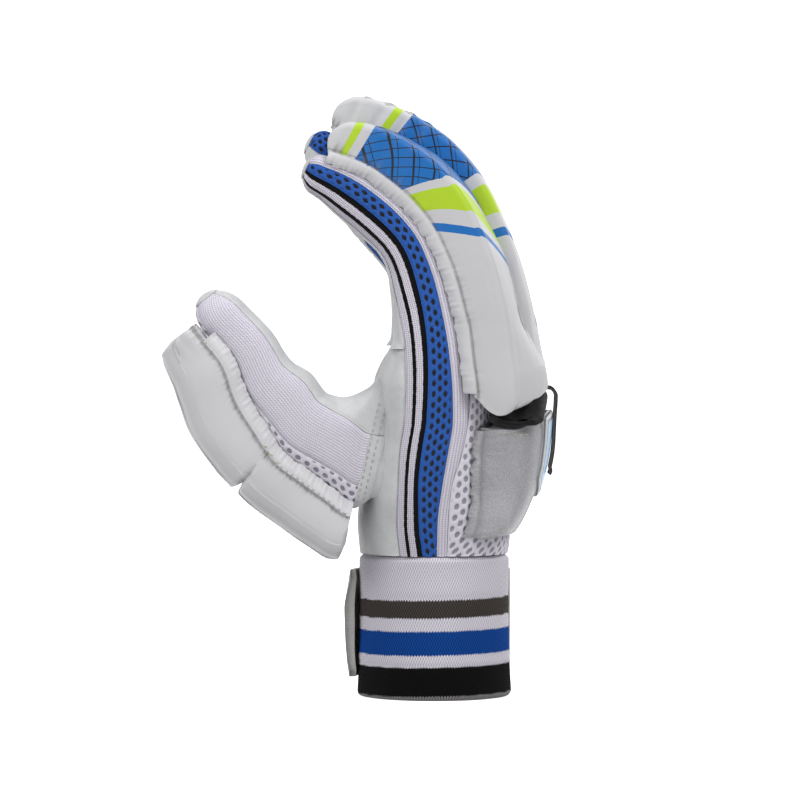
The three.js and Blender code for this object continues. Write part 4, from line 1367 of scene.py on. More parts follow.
@dataclass
class HandShell:
    """Palm leather, airmesh back and the two side walls of three strips each."""

    wardrobe: Wardrobe
    root_inset: float = 1.5
    root_depth: float = 7.0
    palm_rise: float = 1.1

    def rises(self, count: int, top: float = 1.0) -> Stations:
        """Hand sections at evenly spaced heights up to a share of the palm's length."""
        return hand_stations(np.linspace(0, top, count))

    def palm(self) -> Piece:
        """Palm leather with soft creases, cut open where the thumb grows out of it."""
        stations = self.rises(30, 1 + self.palm_rise / SIZES.palm_length)
        panel = Panel("palm_leather_sheet", stations, stations.angle("tape", Side.NEAR),
                      stations.angle("tape", Side.FAR), rows=89, columns=121, wall=1.6,
                      relief=crease_relief(0.55, 10, 0.6), shape=palm_scallop)
        piece = panel.build()
        self.open_thumb_root(piece)
        dress(piece, ["palm_leather"], self.wardrobe.palm)
        return piece

    def open_thumb_root(self, piece: Piece) -> None:
        """Cuts the thumb's root out of the palm, so that the stall is open to the hand."""
        stations = thumb_stations(np.linspace(0, 2.4, 9))
        angle = round_angles(48) + np.zeros((9, 1))
        rings = stations.outline(angle, self.root_inset)
        inward = rings[:1] + np.array([self.root_depth, 0, 0])
        cutter = tube_object("thumb_root_cutter", np.concatenate([inward, rings]), {})
        boolean = piece.modifiers.new("thumb_root", "BOOLEAN")
        boolean.object = cutter
        boolean.operation = "DIFFERENCE"
        boolean.solver = "EXACT"
        apply_modifiers(piece)
        bpy.data.objects.remove(cutter, do_unlink=True)

    def back(self) -> Piece:
        """Airmesh over the back of the hand and wrist, with staggered oval holes."""
        stations = self.rises(30)
        panel = Panel("back_air_mesh", stations, stations.angle("flange", Side.FAR) - 2 * math.pi,
                      stations.angle("flange", Side.NEAR), rows=145, columns=233, wall=1.6,
                      relief=AIR_NET, shape=wrist_bulge)
        return dress(panel.build(), ["back_mesh"], self.wardrobe.air_net)

    def strips(self, digit: Digit, side: Side) -> list[Piece]:
        """The three strips of one side, from the wrist seam to the fingertip."""
        hand = hand_stations(np.linspace(0, 0.93, 16))
        finger = finger_stations(digit, np.linspace(0.06, 0.94, 24), web=False)
        stations = hand.joined(finger).capped(SIZES.finger_tip)
        fine = side is Side.NEAR
        w = self.wardrobe
        looks = (
            ("side_tape", "tape", "mesh", "striped_tape", rib_relief, w.tape, 22),
            ("mesh_tape", "mesh", "knit", "blue_mesh", BLUE_NET, w.blue_net, 28),
            ("knit_strip", "knit", "flange", "white_knit", plain_relief, w.knit, 14),
        )
        made = []
        for part, first, second, slot, relief, material, columns in looks:
            panel = Panel(f"{digit.name}_{part}_strip", stations, stations.angle(first, side),
                          stations.angle(second, side), rows=401 if fine else 201,
                          columns=columns if fine else columns // 2 + 2, step=4 if fine else 2,
                          relief=relief, calm=(118.0, 178.0, 420 if fine else 110))
            made.append(dress(panel.build(), [f"{digit.name}_{part}"], material))
        return made


def wrist_bulge(grid: Array) -> Array:
    """Back mesh pushed out a little where it gathers over the wrist seam."""
    out = grid.copy()
    weight = np.exp(-((grid[..., 2] - SIZES.wrist - 6) / 7) ** 2) * smoothstep(5, 26, grid[..., 0])
    ripple = 1 + 0.35 * wobble(grid[..., 1] / 3.5, grid[..., 2] / 6, 0.4)
    out[..., 0] += 1.3 * weight * ripple
    return out


def apply_modifiers(piece: Piece) -> None:
    """Bakes a piece's modifiers into its mesh."""
    graph = bpy.context.evaluated_depsgraph_get()
    graph.update()
    mesh = bpy.data.meshes.new_from_object(piece.evaluated_get(graph))
    old = piece.data
    piece.modifiers.clear()
    piece.data = mesh
    mesh.name = piece.name
    bpy.data.meshes.remove(old)


def coordinates(mesh: bpy.types.Mesh) -> Array:
    """A mesh's vertex places in metres."""
    out = np.empty(len(mesh.vertices) * 3, np.float32)
    mesh.vertices.foreach_get("co", out)
    return out.reshape(-1, 3).astype(float)


@dataclass(frozen=True)
class ClothPuff:
    """Cloth simulation of a filled cover: air pressure inside, its sewn base held."""

    pressure: float = 4.0
    frames: int = 20
    cap: float = 2.6
    quality: int = 5
    stiffness: float = 20.0
    bending: float = 2.0

    def run(self, piece: Piece, held: Array) -> None:
        """Puffs a closed cover and keeps the result, no point moving more than the cap.

        Args:
            piece: the cover, whose vertices keep their order.
            held: one weight a vertex, 1 where the cover is sewn down.
        """
        group = piece.vertex_groups.new(name="sewn")
        for weight in np.unique(np.round(held, 1)):
            chosen = np.nonzero(np.round(held, 1) == weight)[0]
            if weight > 0:
                group.add([int(i) for i in chosen], float(weight), "REPLACE")
        before = coordinates(piece.data)
        cloth = piece.modifiers.new("puff", "CLOTH")
        cloth.settings.quality = self.quality
        cloth.settings.use_pressure = True
        cloth.settings.uniform_pressure_force = self.pressure
        cloth.settings.vertex_group_mass = group.name
        cloth.settings.tension_stiffness = self.stiffness
        cloth.settings.compression_stiffness = self.stiffness
        cloth.settings.bending_stiffness = self.bending
        cloth.settings.effector_weights.gravity = 0.0
        cloth.collision_settings.use_collision = False
        scene = bpy.context.scene
        for number in range(1, self.frames + 1):
            scene.frame_set(number)
        graph = bpy.context.evaluated_depsgraph_get()
        result = piece.evaluated_get(graph)
        after = coordinates(result.data)
        piece.modifiers.remove(cloth)
        piece.vertex_groups.clear()
        scene.frame_set(1)
        move = after - before
        far = np.linalg.norm(move, axis=1, keepdims=True)
        limit = self.cap * MM
        move *= limit * np.tanh(far / limit) / np.maximum(far, 1e-9)
        piece.data.vertices.foreach_set("co", (before + move).astype(np.float32).ravel())
        piece.data.update()
        LOG.info("%s puffed by %.2f mm at most", piece.name,
                 float(np.max(np.linalg.norm(move, axis=1))) / MM)

    def puffed(self, name: str, rings: Array, held: Array, ends: float = 0.0) -> Array:
        """Puffs a cover lofted through rings and reads its points back.

        Args:
            name: name of the cover while it is puffed.
            rings: points of the cover in construction millimetres.
            held: one weight a point, 1 where the cover is sewn down.
            ends: weight of the two points that close its ends.

        Returns:
            The moved rings.
        """
        cover = tube_object(name, rings, {})
        self.run(cover, np.concatenate([held.ravel(), [ends, ends]]))
        places = (coordinates(cover.data) - PLACE.shift) / MM
        bpy.data.objects.remove(cover, do_unlink=True)
        return places[:-2].reshape(rings.shape)


def rounded_outline(corners: Array, radii: Array, arc: int, edge: Sequence[int]) -> Array:
    """Closed outlines with rounded corners, the same number of points for every section.

    Each corner is a quadratic curve between points a radius before and after it, and each edge
    gets a set number of evenly spaced points.

    Args:
        corners: sections by corners by two coordinates.
        radii: sections by corners.
        arc: points on a corner.
        edge: points on the edge that follows each corner.

    Returns:
        Sections by points by two coordinates.
    """
    before = np.roll(corners, 1, axis=1)
    after = np.roll(corners, -1, axis=1)
    to_before = unit(before - corners)
    to_after = unit(after - corners)
    room = np.minimum(np.linalg.norm(before - corners, axis=-1),
                      np.linalg.norm(after - corners, axis=-1))
    reach = np.minimum(radii, 0.45 * room)[..., None]
    enter, leave = corners + to_before * reach, corners + to_after * reach
    t = np.linspace(0, 1, arc)[None, None, :, None]
    curve = ((1 - t) ** 2 * enter[:, :, None] + 2 * t * (1 - t) * corners[:, :, None]
             + t**2 * leave[:, :, None])
    next_enter = np.roll(enter, -1, axis=1)
    parts = []
    for k, count in enumerate(edge):
        parts.append(curve[:, k])
        share = (np.arange(1, count + 1) / (count + 1))[None, :, None]
        parts.append(leave[:, k, None] * (1 - share) + next_enter[:, k, None] * share)
    return np.concatenate(parts, axis=1)


@dataclass(frozen=True)
class RollSection:
    """Section of a padded roll: a flat base, thin sewn lips, two flanks and a crown.

    The neck stands over a lip. Neck, flank and shoulder are places across the section, as
    shares of its half width. Flank and shoulder also give a share of its height, and so does
    the crown. Radii and points on each edge follow the corners from the base's near end.
    """

    lip: float
    neck: float
    flank: tuple[float, float]
    shoulder: tuple[float, float]
    crown: float
    radii: tuple[float, ...]
    edge: tuple[int, ...]

    def points(self, half: Array, near: Array, far: Array) -> tuple[Array, Array]:
        """Points round every section.

        Args:
            half: half width of each section.
            near: height of each section on its near side.
            far: height on its far side.

        Returns:
            Places across the sections and heights over their bases, sections by points.
        """
        one = np.ones(len(half))

        def corner(side: float, rise: float, scale: Array) -> Array:
            """A corner at a share of the half width and a share of a height."""
            return np.stack([side * half, rise * scale], axis=-1)

        def wall(side: int, scale: Array) -> list[Array]:
            """Neck, flank and shoulder of one side."""
            return [corner(side * self.neck, self.lip + 0.5, one),
                    corner(side * self.flank[0], self.flank[1], scale),
                    corner(side * self.shoulder[0], self.shoulder[1], scale)]

        corners = np.stack([
            corner(-1, 0, one), corner(1, 0, one), corner(1, self.lip, one), *wall(1, far),
            corner(0, self.crown, (near + far) / 2), *reversed(wall(-1, near)),
            corner(-1, self.lip, one)], axis=1)
        section = rounded_outline(corners, np.outer(one, self.radii), 3, self.edge)
        return section[..., 0], section[..., 1]

    def held(self, rise: Array) -> Array:
        """How firmly each point is sewn down: 1 at the lip, fading out just above it."""
        return np.clip(1 - (rise - self.lip) / 1.5, 0, 1)


FINGER_SECTION = RollSection(
    1.4, 0.93, (0.97, 0.5), (0.93, 1.0), 1.05, (0.4, 0.4, 0.5, 0.8, 6, 3.2, 9, 2.2, 6, 0.8, 0.5),
    (9, 0, 1, 3, 4, 6, 6, 4, 3, 1, 0))
THUMB_SECTION = RollSection(
    1.3, 0.94, (1.02, 0.45), (0.86, 0.93), 1.07, (0.4, 0.4, 0.5, 0.8, 6, 6, 9, 6, 6, 0.8, 0.5),
    (7, 0, 1, 3, 3, 5, 5, 3, 3, 1, 0))

PAD_TABLE = Table(
    ("along", "height", "width"),
    ((0.06, 1.00, 1.00), (0.20, 1.00, 1.00), (0.32, 1.00, 1.00), (0.43, 0.98, 0.99),
     (0.52, 1.00, 0.99), (0.61, 0.99, 0.98), (0.68, 0.95, 0.98), (0.73, 0.92, 0.98),
     (0.79, 0.87, 0.97), (0.83, 0.83, 0.96), (0.88, 0.78, 0.94), (0.92, 0.68, 0.91),
     (0.945, 0.52, 0.84)))


def wrist_pad_top(lateral: Array) -> Array:
    """Height of the wrist pad's upper edge, arched towards the hand's middle."""
    share = 2 * np.asarray(lateral) / SIZES.wrist_pad_width
    return SIZES.pad_foot + SIZES.wrist_pad_height + SIZES.wrist_pad_arch * (1 - share**2)


# Folds across a finger roll's tip: share of the finger's length, depth and width

TIP_FOLDS = ((0.70, 0.5, 1.6), (0.765, 0.7, 1.7), (0.83, 0.8, 1.6), (0.9, 0.6, 1.4))


@dataclass
class FingerRoll:
    """Padded roll on the back of one finger: stitched lips, two side faces, a sloped top.

    The section is a polygon with rounded corners in height over the stall and place across it,
    carried along the finger, and then puffed by the cloth simulation.
    """

    digit: Digit
    wardrobe: Wardrobe
    rows: int = 44
    fine_rows: int = 181
    lift: float = 0.95
    stall_lift: float = 0.35

    def bases(self) -> tuple[Stations, Array, Array, Array, Array, Array]:
        """Sections under the roll, from its lower end over the knuckle to its tip.

        Returns:
            Sections, share below the knuckle, height share, width share, places along the
            finger in millimetres and the depth of the end's bulge.
        """
        middle = self.digit.lateral
        lower = float(wrist_pad_top(middle)) + SIZES.pad_lower_end
        share = np.array([0.0, 0.05, 0.14, 0.3, 0.55, 0.8])
        start = np.array([0.80, 0.93, 0.99, 1.02, 1.03, 1.02])
        z = lower + (SIZES.palm_top - lower) * share
        hand = hand_stations((z - SIZES.wrist) / SIZES.palm_length)
        hand.edges = {"flange": hand.edges["flange"]}
        along = np.concatenate([np.linspace(0.06, 0.86, 30), [0.88, 0.9, 0.915, 0.93, 0.94, 0.945]])
        finger = finger_stations(self.digit, along, web=False)
        finger.edges = {"flange": finger.edges["flange"]}
        below = np.concatenate([1 - share, np.zeros(len(along))])
        height = np.concatenate([start, PAD_TABLE.at("height", along)])
        height[-3:] *= [0.96, 0.9, 0.82]
        width = np.concatenate([0.94 + 0.06 * smoothstep(0, 0.25, share),
                                PAD_TABLE.at("width", along)])
        place = np.concatenate([z - SIZES.finger_root, along * self.digit.length])
        push = np.concatenate([SIZES.pad_end_bulge * np.clip(1 - share * 1.6, 0, 1),
                               -SIZES.pad_overhang * np.clip((along - 0.8) / 0.14, 0, 1.05)])
        return hand.joined(finger), below, height, width, place, push

    def grid(self) -> tuple[Array, dict[str, Array], Array]:
        """Points of the cover, its print values and the weights of its sewn base."""
        stations, below, height_share, width_share, place, push = self.bases()
        half = (SIZES.pitch - SIZES.pad_gap) * width_share / 2
        fade = np.clip(place / self.digit.length, 0, 1)
        full = SIZES.pad_height * height_share
        near = (self.digit.near + (self.digit.end - self.digit.near) * fade) * full
        far = (self.digit.far + (self.digit.end - self.digit.far) * fade) * full
        lateral, rise = FINGER_SECTION.points(half, near, far)
        hand_rows = below > 0
        roof = stations.roof(lateral + self.digit.lateral)
        flange = stations.edges["flange"][:, None] * stations.depth[:, None] / 2
        base = np.where(hand_rows[:, None], np.maximum(flange, roof) + self.lift,
                        stations.depth[:, None] / 2 + self.stall_lift)
        crown = near[:, None] + (far - near)[:, None] * (lateral / half[:, None] + 1) / 2
        share = np.clip(rise / crown / 0.8, 0, 1)
        forward = np.stack([-stations.dorsal[:, 2], 0 * half, stations.dorsal[:, 0]], axis=1)
        raise_by = (wrist_pad_top(lateral + self.digit.lateral)
                    - wrist_pad_top(self.digit.lateral)) * below[:, None]
        ahead = raise_by - push[:, None] * np.sin(math.pi / 2 * share)
        across = base + rise
        points = stations.centre[:, None] + stations.dorsal[:, None] * across[..., None]
        points[..., 1] = self.digit.lateral + lateral
        points = points + forward[:, None] * ahead[..., None]
        around = arc_lengths(np.stack([lateral, rise], axis=-1), 1)
        tipward = place[:, None] + ahead
        values = {"tipward": tipward, "around": around, "rise": rise, "lateral": lateral + 0 * rise}
        return points, values, FINGER_SECTION.held(rise)

    def build(self) -> Piece:
        """Builds, puffs, creases and dresses the roll."""
        coarse, values, held = self.grid()
        coarse = refine_rows(coarse, self.rows)
        held = np.clip(refine_rows(held, self.rows), 0, 1)
        puffed = ClothPuff(pressure=4.0, cap=1.6).puffed(f"{self.digit.name}_cover", coarse, held)
        grid = refined(puffed, self.fine_rows)
        fine = {key: refined(value, self.fine_rows) for key, value in values.items()}
        grid, crease = self.relief(grid, fine)
        attributes = {"tipward": fine["tipward"], "around": fine["around"],
                      "slant": self.slant(fine), "crease": crease}
        piece = tube_object(f"{self.digit.name}_roll", grid, attributes)
        dress(piece, [f"{self.digit.name}_pad"], self.wardrobe.print)
        if self.digit.name in ("index", "little"):
            self.welt(-1 if self.digit.name == "index" else 1)
        return piece

    def welt(self, side: int) -> Piece:
        """Sewn edge of the roll that lies over the knit strip, on the glove's outer side.

        Args:
            side: -1 for the thumb's side and 1 for the little finger's.

        Returns:
            The edge strip.
        """
        stations, below, _, width_share, _, _ = self.bases()
        half = (SIZES.pitch - SIZES.pad_gap) * width_share / 2
        hand = below > 0
        flange = stations.edges["flange"] * stations.depth / 2
        place = self.digit.lateral + side * half
        roof = stations.roof(place[:, None])[:, 0]
        base = np.where(hand, np.maximum(flange, roof) + self.lift,
                        stations.depth / 2 + self.stall_lift)
        across = np.where(hand, flange - 3.0, stations.depth / 2 - 3.7)
        start = stations.centre + stations.dorsal * (base + 1.5)[:, None]
        end = stations.centre + stations.dorsal * across[:, None]
        start[:, 1] = place + side * 0.2
        end[:, 1] += side * (stations.flank(across) + 0.6)
        lowered = (wrist_pad_top(place) - wrist_pad_top(self.digit.lateral)) * below
        start[:, 2] += lowered
        end[:, 2] += lowered
        out = directions(start, 0.0, side, 0.0)
        piece = ribbon(f"{self.digit.name}_roll_welt", start[1:], end[1:], out[1:], rows=321,
                       wave=0.55, bulge=0.8)
        return dress(piece, [], self.wardrobe.roll)

    def slant(self, fine: dict[str, Array]) -> Array:
        """Print value that puts straight bands into a chevron over the roll's top."""
        height = np.clip(fine["rise"], 0, None)
        if self.digit.name == "index":
            near = np.clip(height, 0, 17) * 0.44
            over = np.clip(fine["lateral"] + 12, 0, 24) * 0.58 * smoothstep(14, 18, height)
            return fine["tipward"] + near + over
        top = np.abs(fine["lateral"]) * 0.25
        return fine["tipward"] + self.digit.print_shift + 14 - top

    def relief(self, grid: Array, fine: dict[str, Array]) -> tuple[Array, Array]:
        """Gathers at the sewn lips, folds across the tip and slight hand-made swells, with the mask of
        painted shade in the seam dip, the folds and the gather hollows.
        """
        along, rise, lateral = fine["tipward"], fine["rise"], fine["lateral"]
        normal = outward_normals(grid)
        tip = smoothstep(0.45, 0.95, along / self.digit.length)
        low = np.exp(-((rise - 2.2) / 2.6) ** 2)
        gathers = low * (0.25 + 0.55 * tip) * wobble(along * 1.25, lateral / 9, self.digit.place)
        folds = np.zeros_like(along)
        for place, depth, width in TIP_FOLDS:
            middle_line = place * self.digit.length + 1.2 * wobble(lateral / 8, rise / 9, place * 9)
            folds += depth * np.exp(-((along - middle_line) / width) ** 2)
        folds *= self.digit.fold * smoothstep(3, 10, rise)
        knuckle = 0.55 * np.exp(-((along - 6) / 2.2) ** 2) * smoothstep(6, 16, rise)
        swell = 0.3 * wobble(along / 13, lateral / 9 + rise / 11, 3 + self.digit.place)
        lower = smoothstep(-12, -22, along) * wobble(lateral / 2.2, rise / 8, 2.0) * 0.45
        moved = gathers - folds - knuckle * 0.5 + swell + lower * smoothstep(1, 5, rise)
        seam_dip = 0.35 * np.exp(-((rise - 1.9) / 0.5) ** 2)
        out = grid + normal * (moved - seam_dip)[..., None]
        # painted shade mask: the seam dip, the tip folds and the gather hollows darken the roll's
        # colour
        seam = np.exp(-((rise - 1.9) / 0.7) ** 2) * 0.6
        crease = np.clip(seam + folds * 0.25 + np.clip(-gathers, 0, 1), 0, 1)
        return out, crease * smoothstep(-2, 1, rise + 2)


@dataclass
class FingerStall:
    """Leather front, blue mesh gussets and leather tip of one finger."""

    digit: Digit
    wardrobe: Wardrobe

    def build(self) -> None:
        """Builds the stall's pieces."""
        name = self.digit.name
        bare = finger_stations(self.digit, np.linspace(0, 0.94, 28))
        stations = bare.capped(SIZES.finger_tip)
        front = Panel(f"{name}_front_leather", stations, stations.angle("tape", Side.NEAR),
                      stations.angle("tape", Side.FAR), rows=129, columns=41, wall=1.3, tuck=0.3,
                      relief=crease_relief(0.4, 6, self.digit.place))
        dress(front.build(), [f"{name}_front"], self.wardrobe.palm)
        for side, part in ((Side.NEAR, "near_gusset"), (Side.FAR, "far_gusset")):
            if (name, part) in (("index", "near_gusset"), ("little", "far_gusset")):
                continue
            gusset = Panel(f"{name}_{part}_net", stations, stations.angle("flange", side),
                           stations.angle("tape", side), rows=133, columns=37, wall=1.2,
                           relief=BLUE_NET)
            dress(gusset.build(), [f"{name}_{part}"], self.wardrobe.blue_net)
        end_cap(f"{name}_tip_end", f"{name}_tip", bare, SIZES.finger_tip, self.wardrobe.palm)


def end_cap(name: str, node: str, stations: Stations, reach: float,
            material: Material) -> Piece:
    """Small rounded piece that closes a fingertip, sewn over the ends of the strips.

    Args:
        name: the piece's name.
        node: the frame's node that it stands for.
        stations: the finger's sections without a cap.
        reach: how far the tip stands beyond the last section.
        material: its finish.

    Returns:
        The piece.
    """
    turns = np.radians(np.concatenate([[84, 70, 62], np.linspace(58, 89, 12)]))
    lift = np.concatenate([[-1.6, -1.6, -0.9], np.full(12, 0.35)])
    ahead = unit(stations.centre[-1] - stations.centre[-3])
    one = np.ones(len(turns))
    size = np.cos(turns)
    rings = Stations(
        centre=stations.centre[-1] + ahead * (reach * np.sin(turns) + lift * np.sin(turns))[:, None],
        dorsal=stations.dorsal[-1] * one[:, None], depth=stations.depth[-1] * size + 2 * lift * size,
        width=stations.width[-1] * size + 2 * lift * size, arch=0 * one,
        round=stations.round[-1] * one)
    angle = round_angles(40) + 0 * turns[:, None]
    grid = rings.outline(angle)
    values = {"along": np.degrees(turns)[:, None] + 0 * angle, "across": angle * 4}
    return dress(tube_object(name, grid, values), [node], material)


@dataclass
class Thumb:
    """Thumb stall of four panels and a root collar, with two padded rolls along its back."""

    wardrobe: Wardrobe
    collar_depth: float = 6.5
    last_row: float = 8.0
    overhang_rows: float = 0.55
    lift: float = 0.35
    cover_rows: int = 34
    fine_rows: int = 121
    welt_reach: float = 4.4

    def build(self) -> None:
        """Builds the thumb's pieces."""
        bare = thumb_stations(np.linspace(0.0, 8, 42))
        stations = bare.capped(SIZES.thumb_tip)
        near, far = Side.NEAR, Side.FAR
        w = self.wardrobe
        root = thumb_stations(np.concatenate([[0.0], np.linspace(0.0, 0.97, 9)]))
        root.centre[0] += np.array([self.collar_depth, 0.0, 0.0])
        grown = thumb_stations(np.linspace(0.93, 8, 38)).capped(SIZES.thumb_tip)
        looks = (
            ("thumb_leather", "panel", stations, stations.angle("seam1", near),
             stations.angle("seam1", far), 141, 65, crease_relief(0.5, 8, 2.2), "palm_leather", w.palm),
            ("thumb_knit_side", "panel", grown, grown.angle("seam2", near), grown.angle("seam1", near),
             161, 61, plain_relief, "white_knit", w.fine_knit),
            ("thumb_mesh_side", "panel", grown, grown.angle("flange", near), grown.angle("seam2", near),
             261, 53, AIR_NET, "air_mesh", w.air_net),
            ("thumb_far_side", "panel", stations, stations.angle("seam1", far),
             stations.angle("flange", far), 241, 85, AIR_NET, "air_mesh", w.air_net),
            ("thumb_root", "collar", root, root.angle("flange", near), root.angle("seam1", near),
             21, 61, crease_relief(0.3, 9, 1.1), "palm_leather", w.palm),
        )
        for node, kind, around, start, end, rows, columns, relief, slot, material in looks:
            panel = Panel(f"{node}_{kind}", around, start, end, rows, columns, relief=relief,
                          tuck=0.45)
            dress(panel.build(), [node] if kind == "panel" else [], material)
        end_cap("thumb_tip_end", "thumb_tip", bare, SIZES.thumb_tip, w.palm)
        self.roll("thumb_pad_base", 1.0, 4.41, (
            (0.0, 0.72), (0.07, 0.8), (0.15, 0.855), (0.3, 0.862), (0.55, 0.845), (0.8, 0.84),
            (0.94, 0.85), (1.0, 0.84)), 0.5)
        self.roll("thumb_pad_tip", 4.36, 8.55, (
            (0.0, 0.84), (0.05, 0.88), (0.15, 0.935), (0.35, 0.95), (0.6, 0.952), (0.7, 0.905),
            (0.8, 0.845), (0.9, 0.775), (0.96, 0.71), (1.0, 0.66)), 1.0)

    def roll(self, node: str, first: float, last: float,
             profile: tuple[tuple[float, float], ...], gather: float) -> Piece:
        """One padded roll over a stretch of the thumb.

        Args:
            node: the frame's node that it stands for.
            first: where it starts, counted along the thumb's rows.
            last: where it ends.
            profile: pairs of a share of its length and a share of its height.
            gather: how strongly the tip end is gathered.

        Returns:
            The roll.
        """
        share = np.linspace(0, 1, self.cover_rows)
        row = first + (last - first) * share
        stations = thumb_stations(np.minimum(row, self.last_row))
        beyond = np.clip((row - self.last_row) / self.overhang_rows, 0, None) * SIZES.thumb_pad_overhang
        ahead = unit(stations.centre[-1] - thumb_stations(np.array([7.0])).centre[0])
        stations.centre = stations.centre + ahead * beyond[:, None]
        size = smooth_curve(*np.array(profile).T, share)
        ends = np.clip(np.minimum(share, 1 - share) / 0.045, 0, 1)
        size = size * (0.74 + 0.26 * np.sqrt(1 - (1 - ends) ** 2))
        height = SIZES.thumb_pad_height * size
        half = (SIZES.thumb_pad_width / 2 * (0.9 + 0.1 * np.minimum(1, size))
                * np.minimum(1, stations.width / SIZES.thumb_width + 0.1))
        lateral, rise = THUMB_SECTION.points(half, height, height)
        base = stations.depth[:, None] / 2 + self.lift
        points = stations.point(base + rise, lateral)
        puffed = ClothPuff(pressure=4.0, cap=1.5).puffed(f"{node}_cover", points,
                                                         THUMB_SECTION.held(rise))
        grid, fine_rise, fine_lateral = (refined(v, self.fine_rows) for v in (puffed, rise, lateral))
        along = arc_lengths(grid, 0)
        total = along[-1:].mean()
        along = along / np.maximum(along[-1:], 1e-6) * total
        normal = outward_normals(grid)
        tip = smoothstep(0.72, 1.0, along / total) * gather
        root = smoothstep(0.12, 0.0, along / total) * 0.5
        low = np.exp(-((fine_rise - 2) / 2.4) ** 2)
        gathers = low * 0.35 * wobble(along * 1.2, fine_lateral / 9, 1.0)
        pleats = (tip + root) * 0.6 * wobble(fine_lateral / 1.5 + fine_rise / 2.1, along / 9, 4.0)
        swell = 0.3 * wobble(along / 12, fine_lateral / 8 + fine_rise / 9, 6.0)
        seam_dip = 0.35 * np.exp(-((fine_rise - 1.8) / 0.5) ** 2)
        grid = grid + normal * (gathers + pleats + swell - seam_dip)[..., None]
        # painted shade mask: the seam dip and the pleat hollows darken the roll's colour
        seam = np.exp(-((fine_rise - 1.8) / 0.7) ** 2) * 0.6
        crease = np.clip(seam + np.clip(-pleats, 0, 1) * 0.6, 0, 1)
        values = {"along": along, "across": fine_lateral, "crease": crease}
        piece = tube_object(f"{node}_roll", grid, values)
        dress(piece, [node], self.wardrobe.roll)
        self.welts(node, row[row <= self.last_row], half[row <= self.last_row])
        return piece

    def welts(self, node: str, row: Array, half: Array) -> None:
        """Gathered edges of a roll, sewn down on both sides of the stall.

        Args:
            node: the roll's node, which names the edges.
            row: places along the thumb, counted in its table's rows.
            half: the roll's half width at those places.
        """
        stations = thumb_stations(row)
        across = stations.depth / 2 - self.welt_reach
        width = stations.flank(across) + 0.6
        for turn, label in ((-1, "near"), (1, "far")):
            start = stations.point((stations.depth / 2 + 1.7)[:, None],
                                   (turn * (half + 0.1))[:, None])[:, 0]
            end = stations.point(across[:, None], (turn * width)[:, None])[:, 0]
            out = directions(start, 0.0, turn, 0.0)
            edge = ribbon(f"{node}_{label}_welt", start, end, out, rows=161, wave=0.4, bulge=0.9)
            dress(edge, [], self.wardrobe.roll)


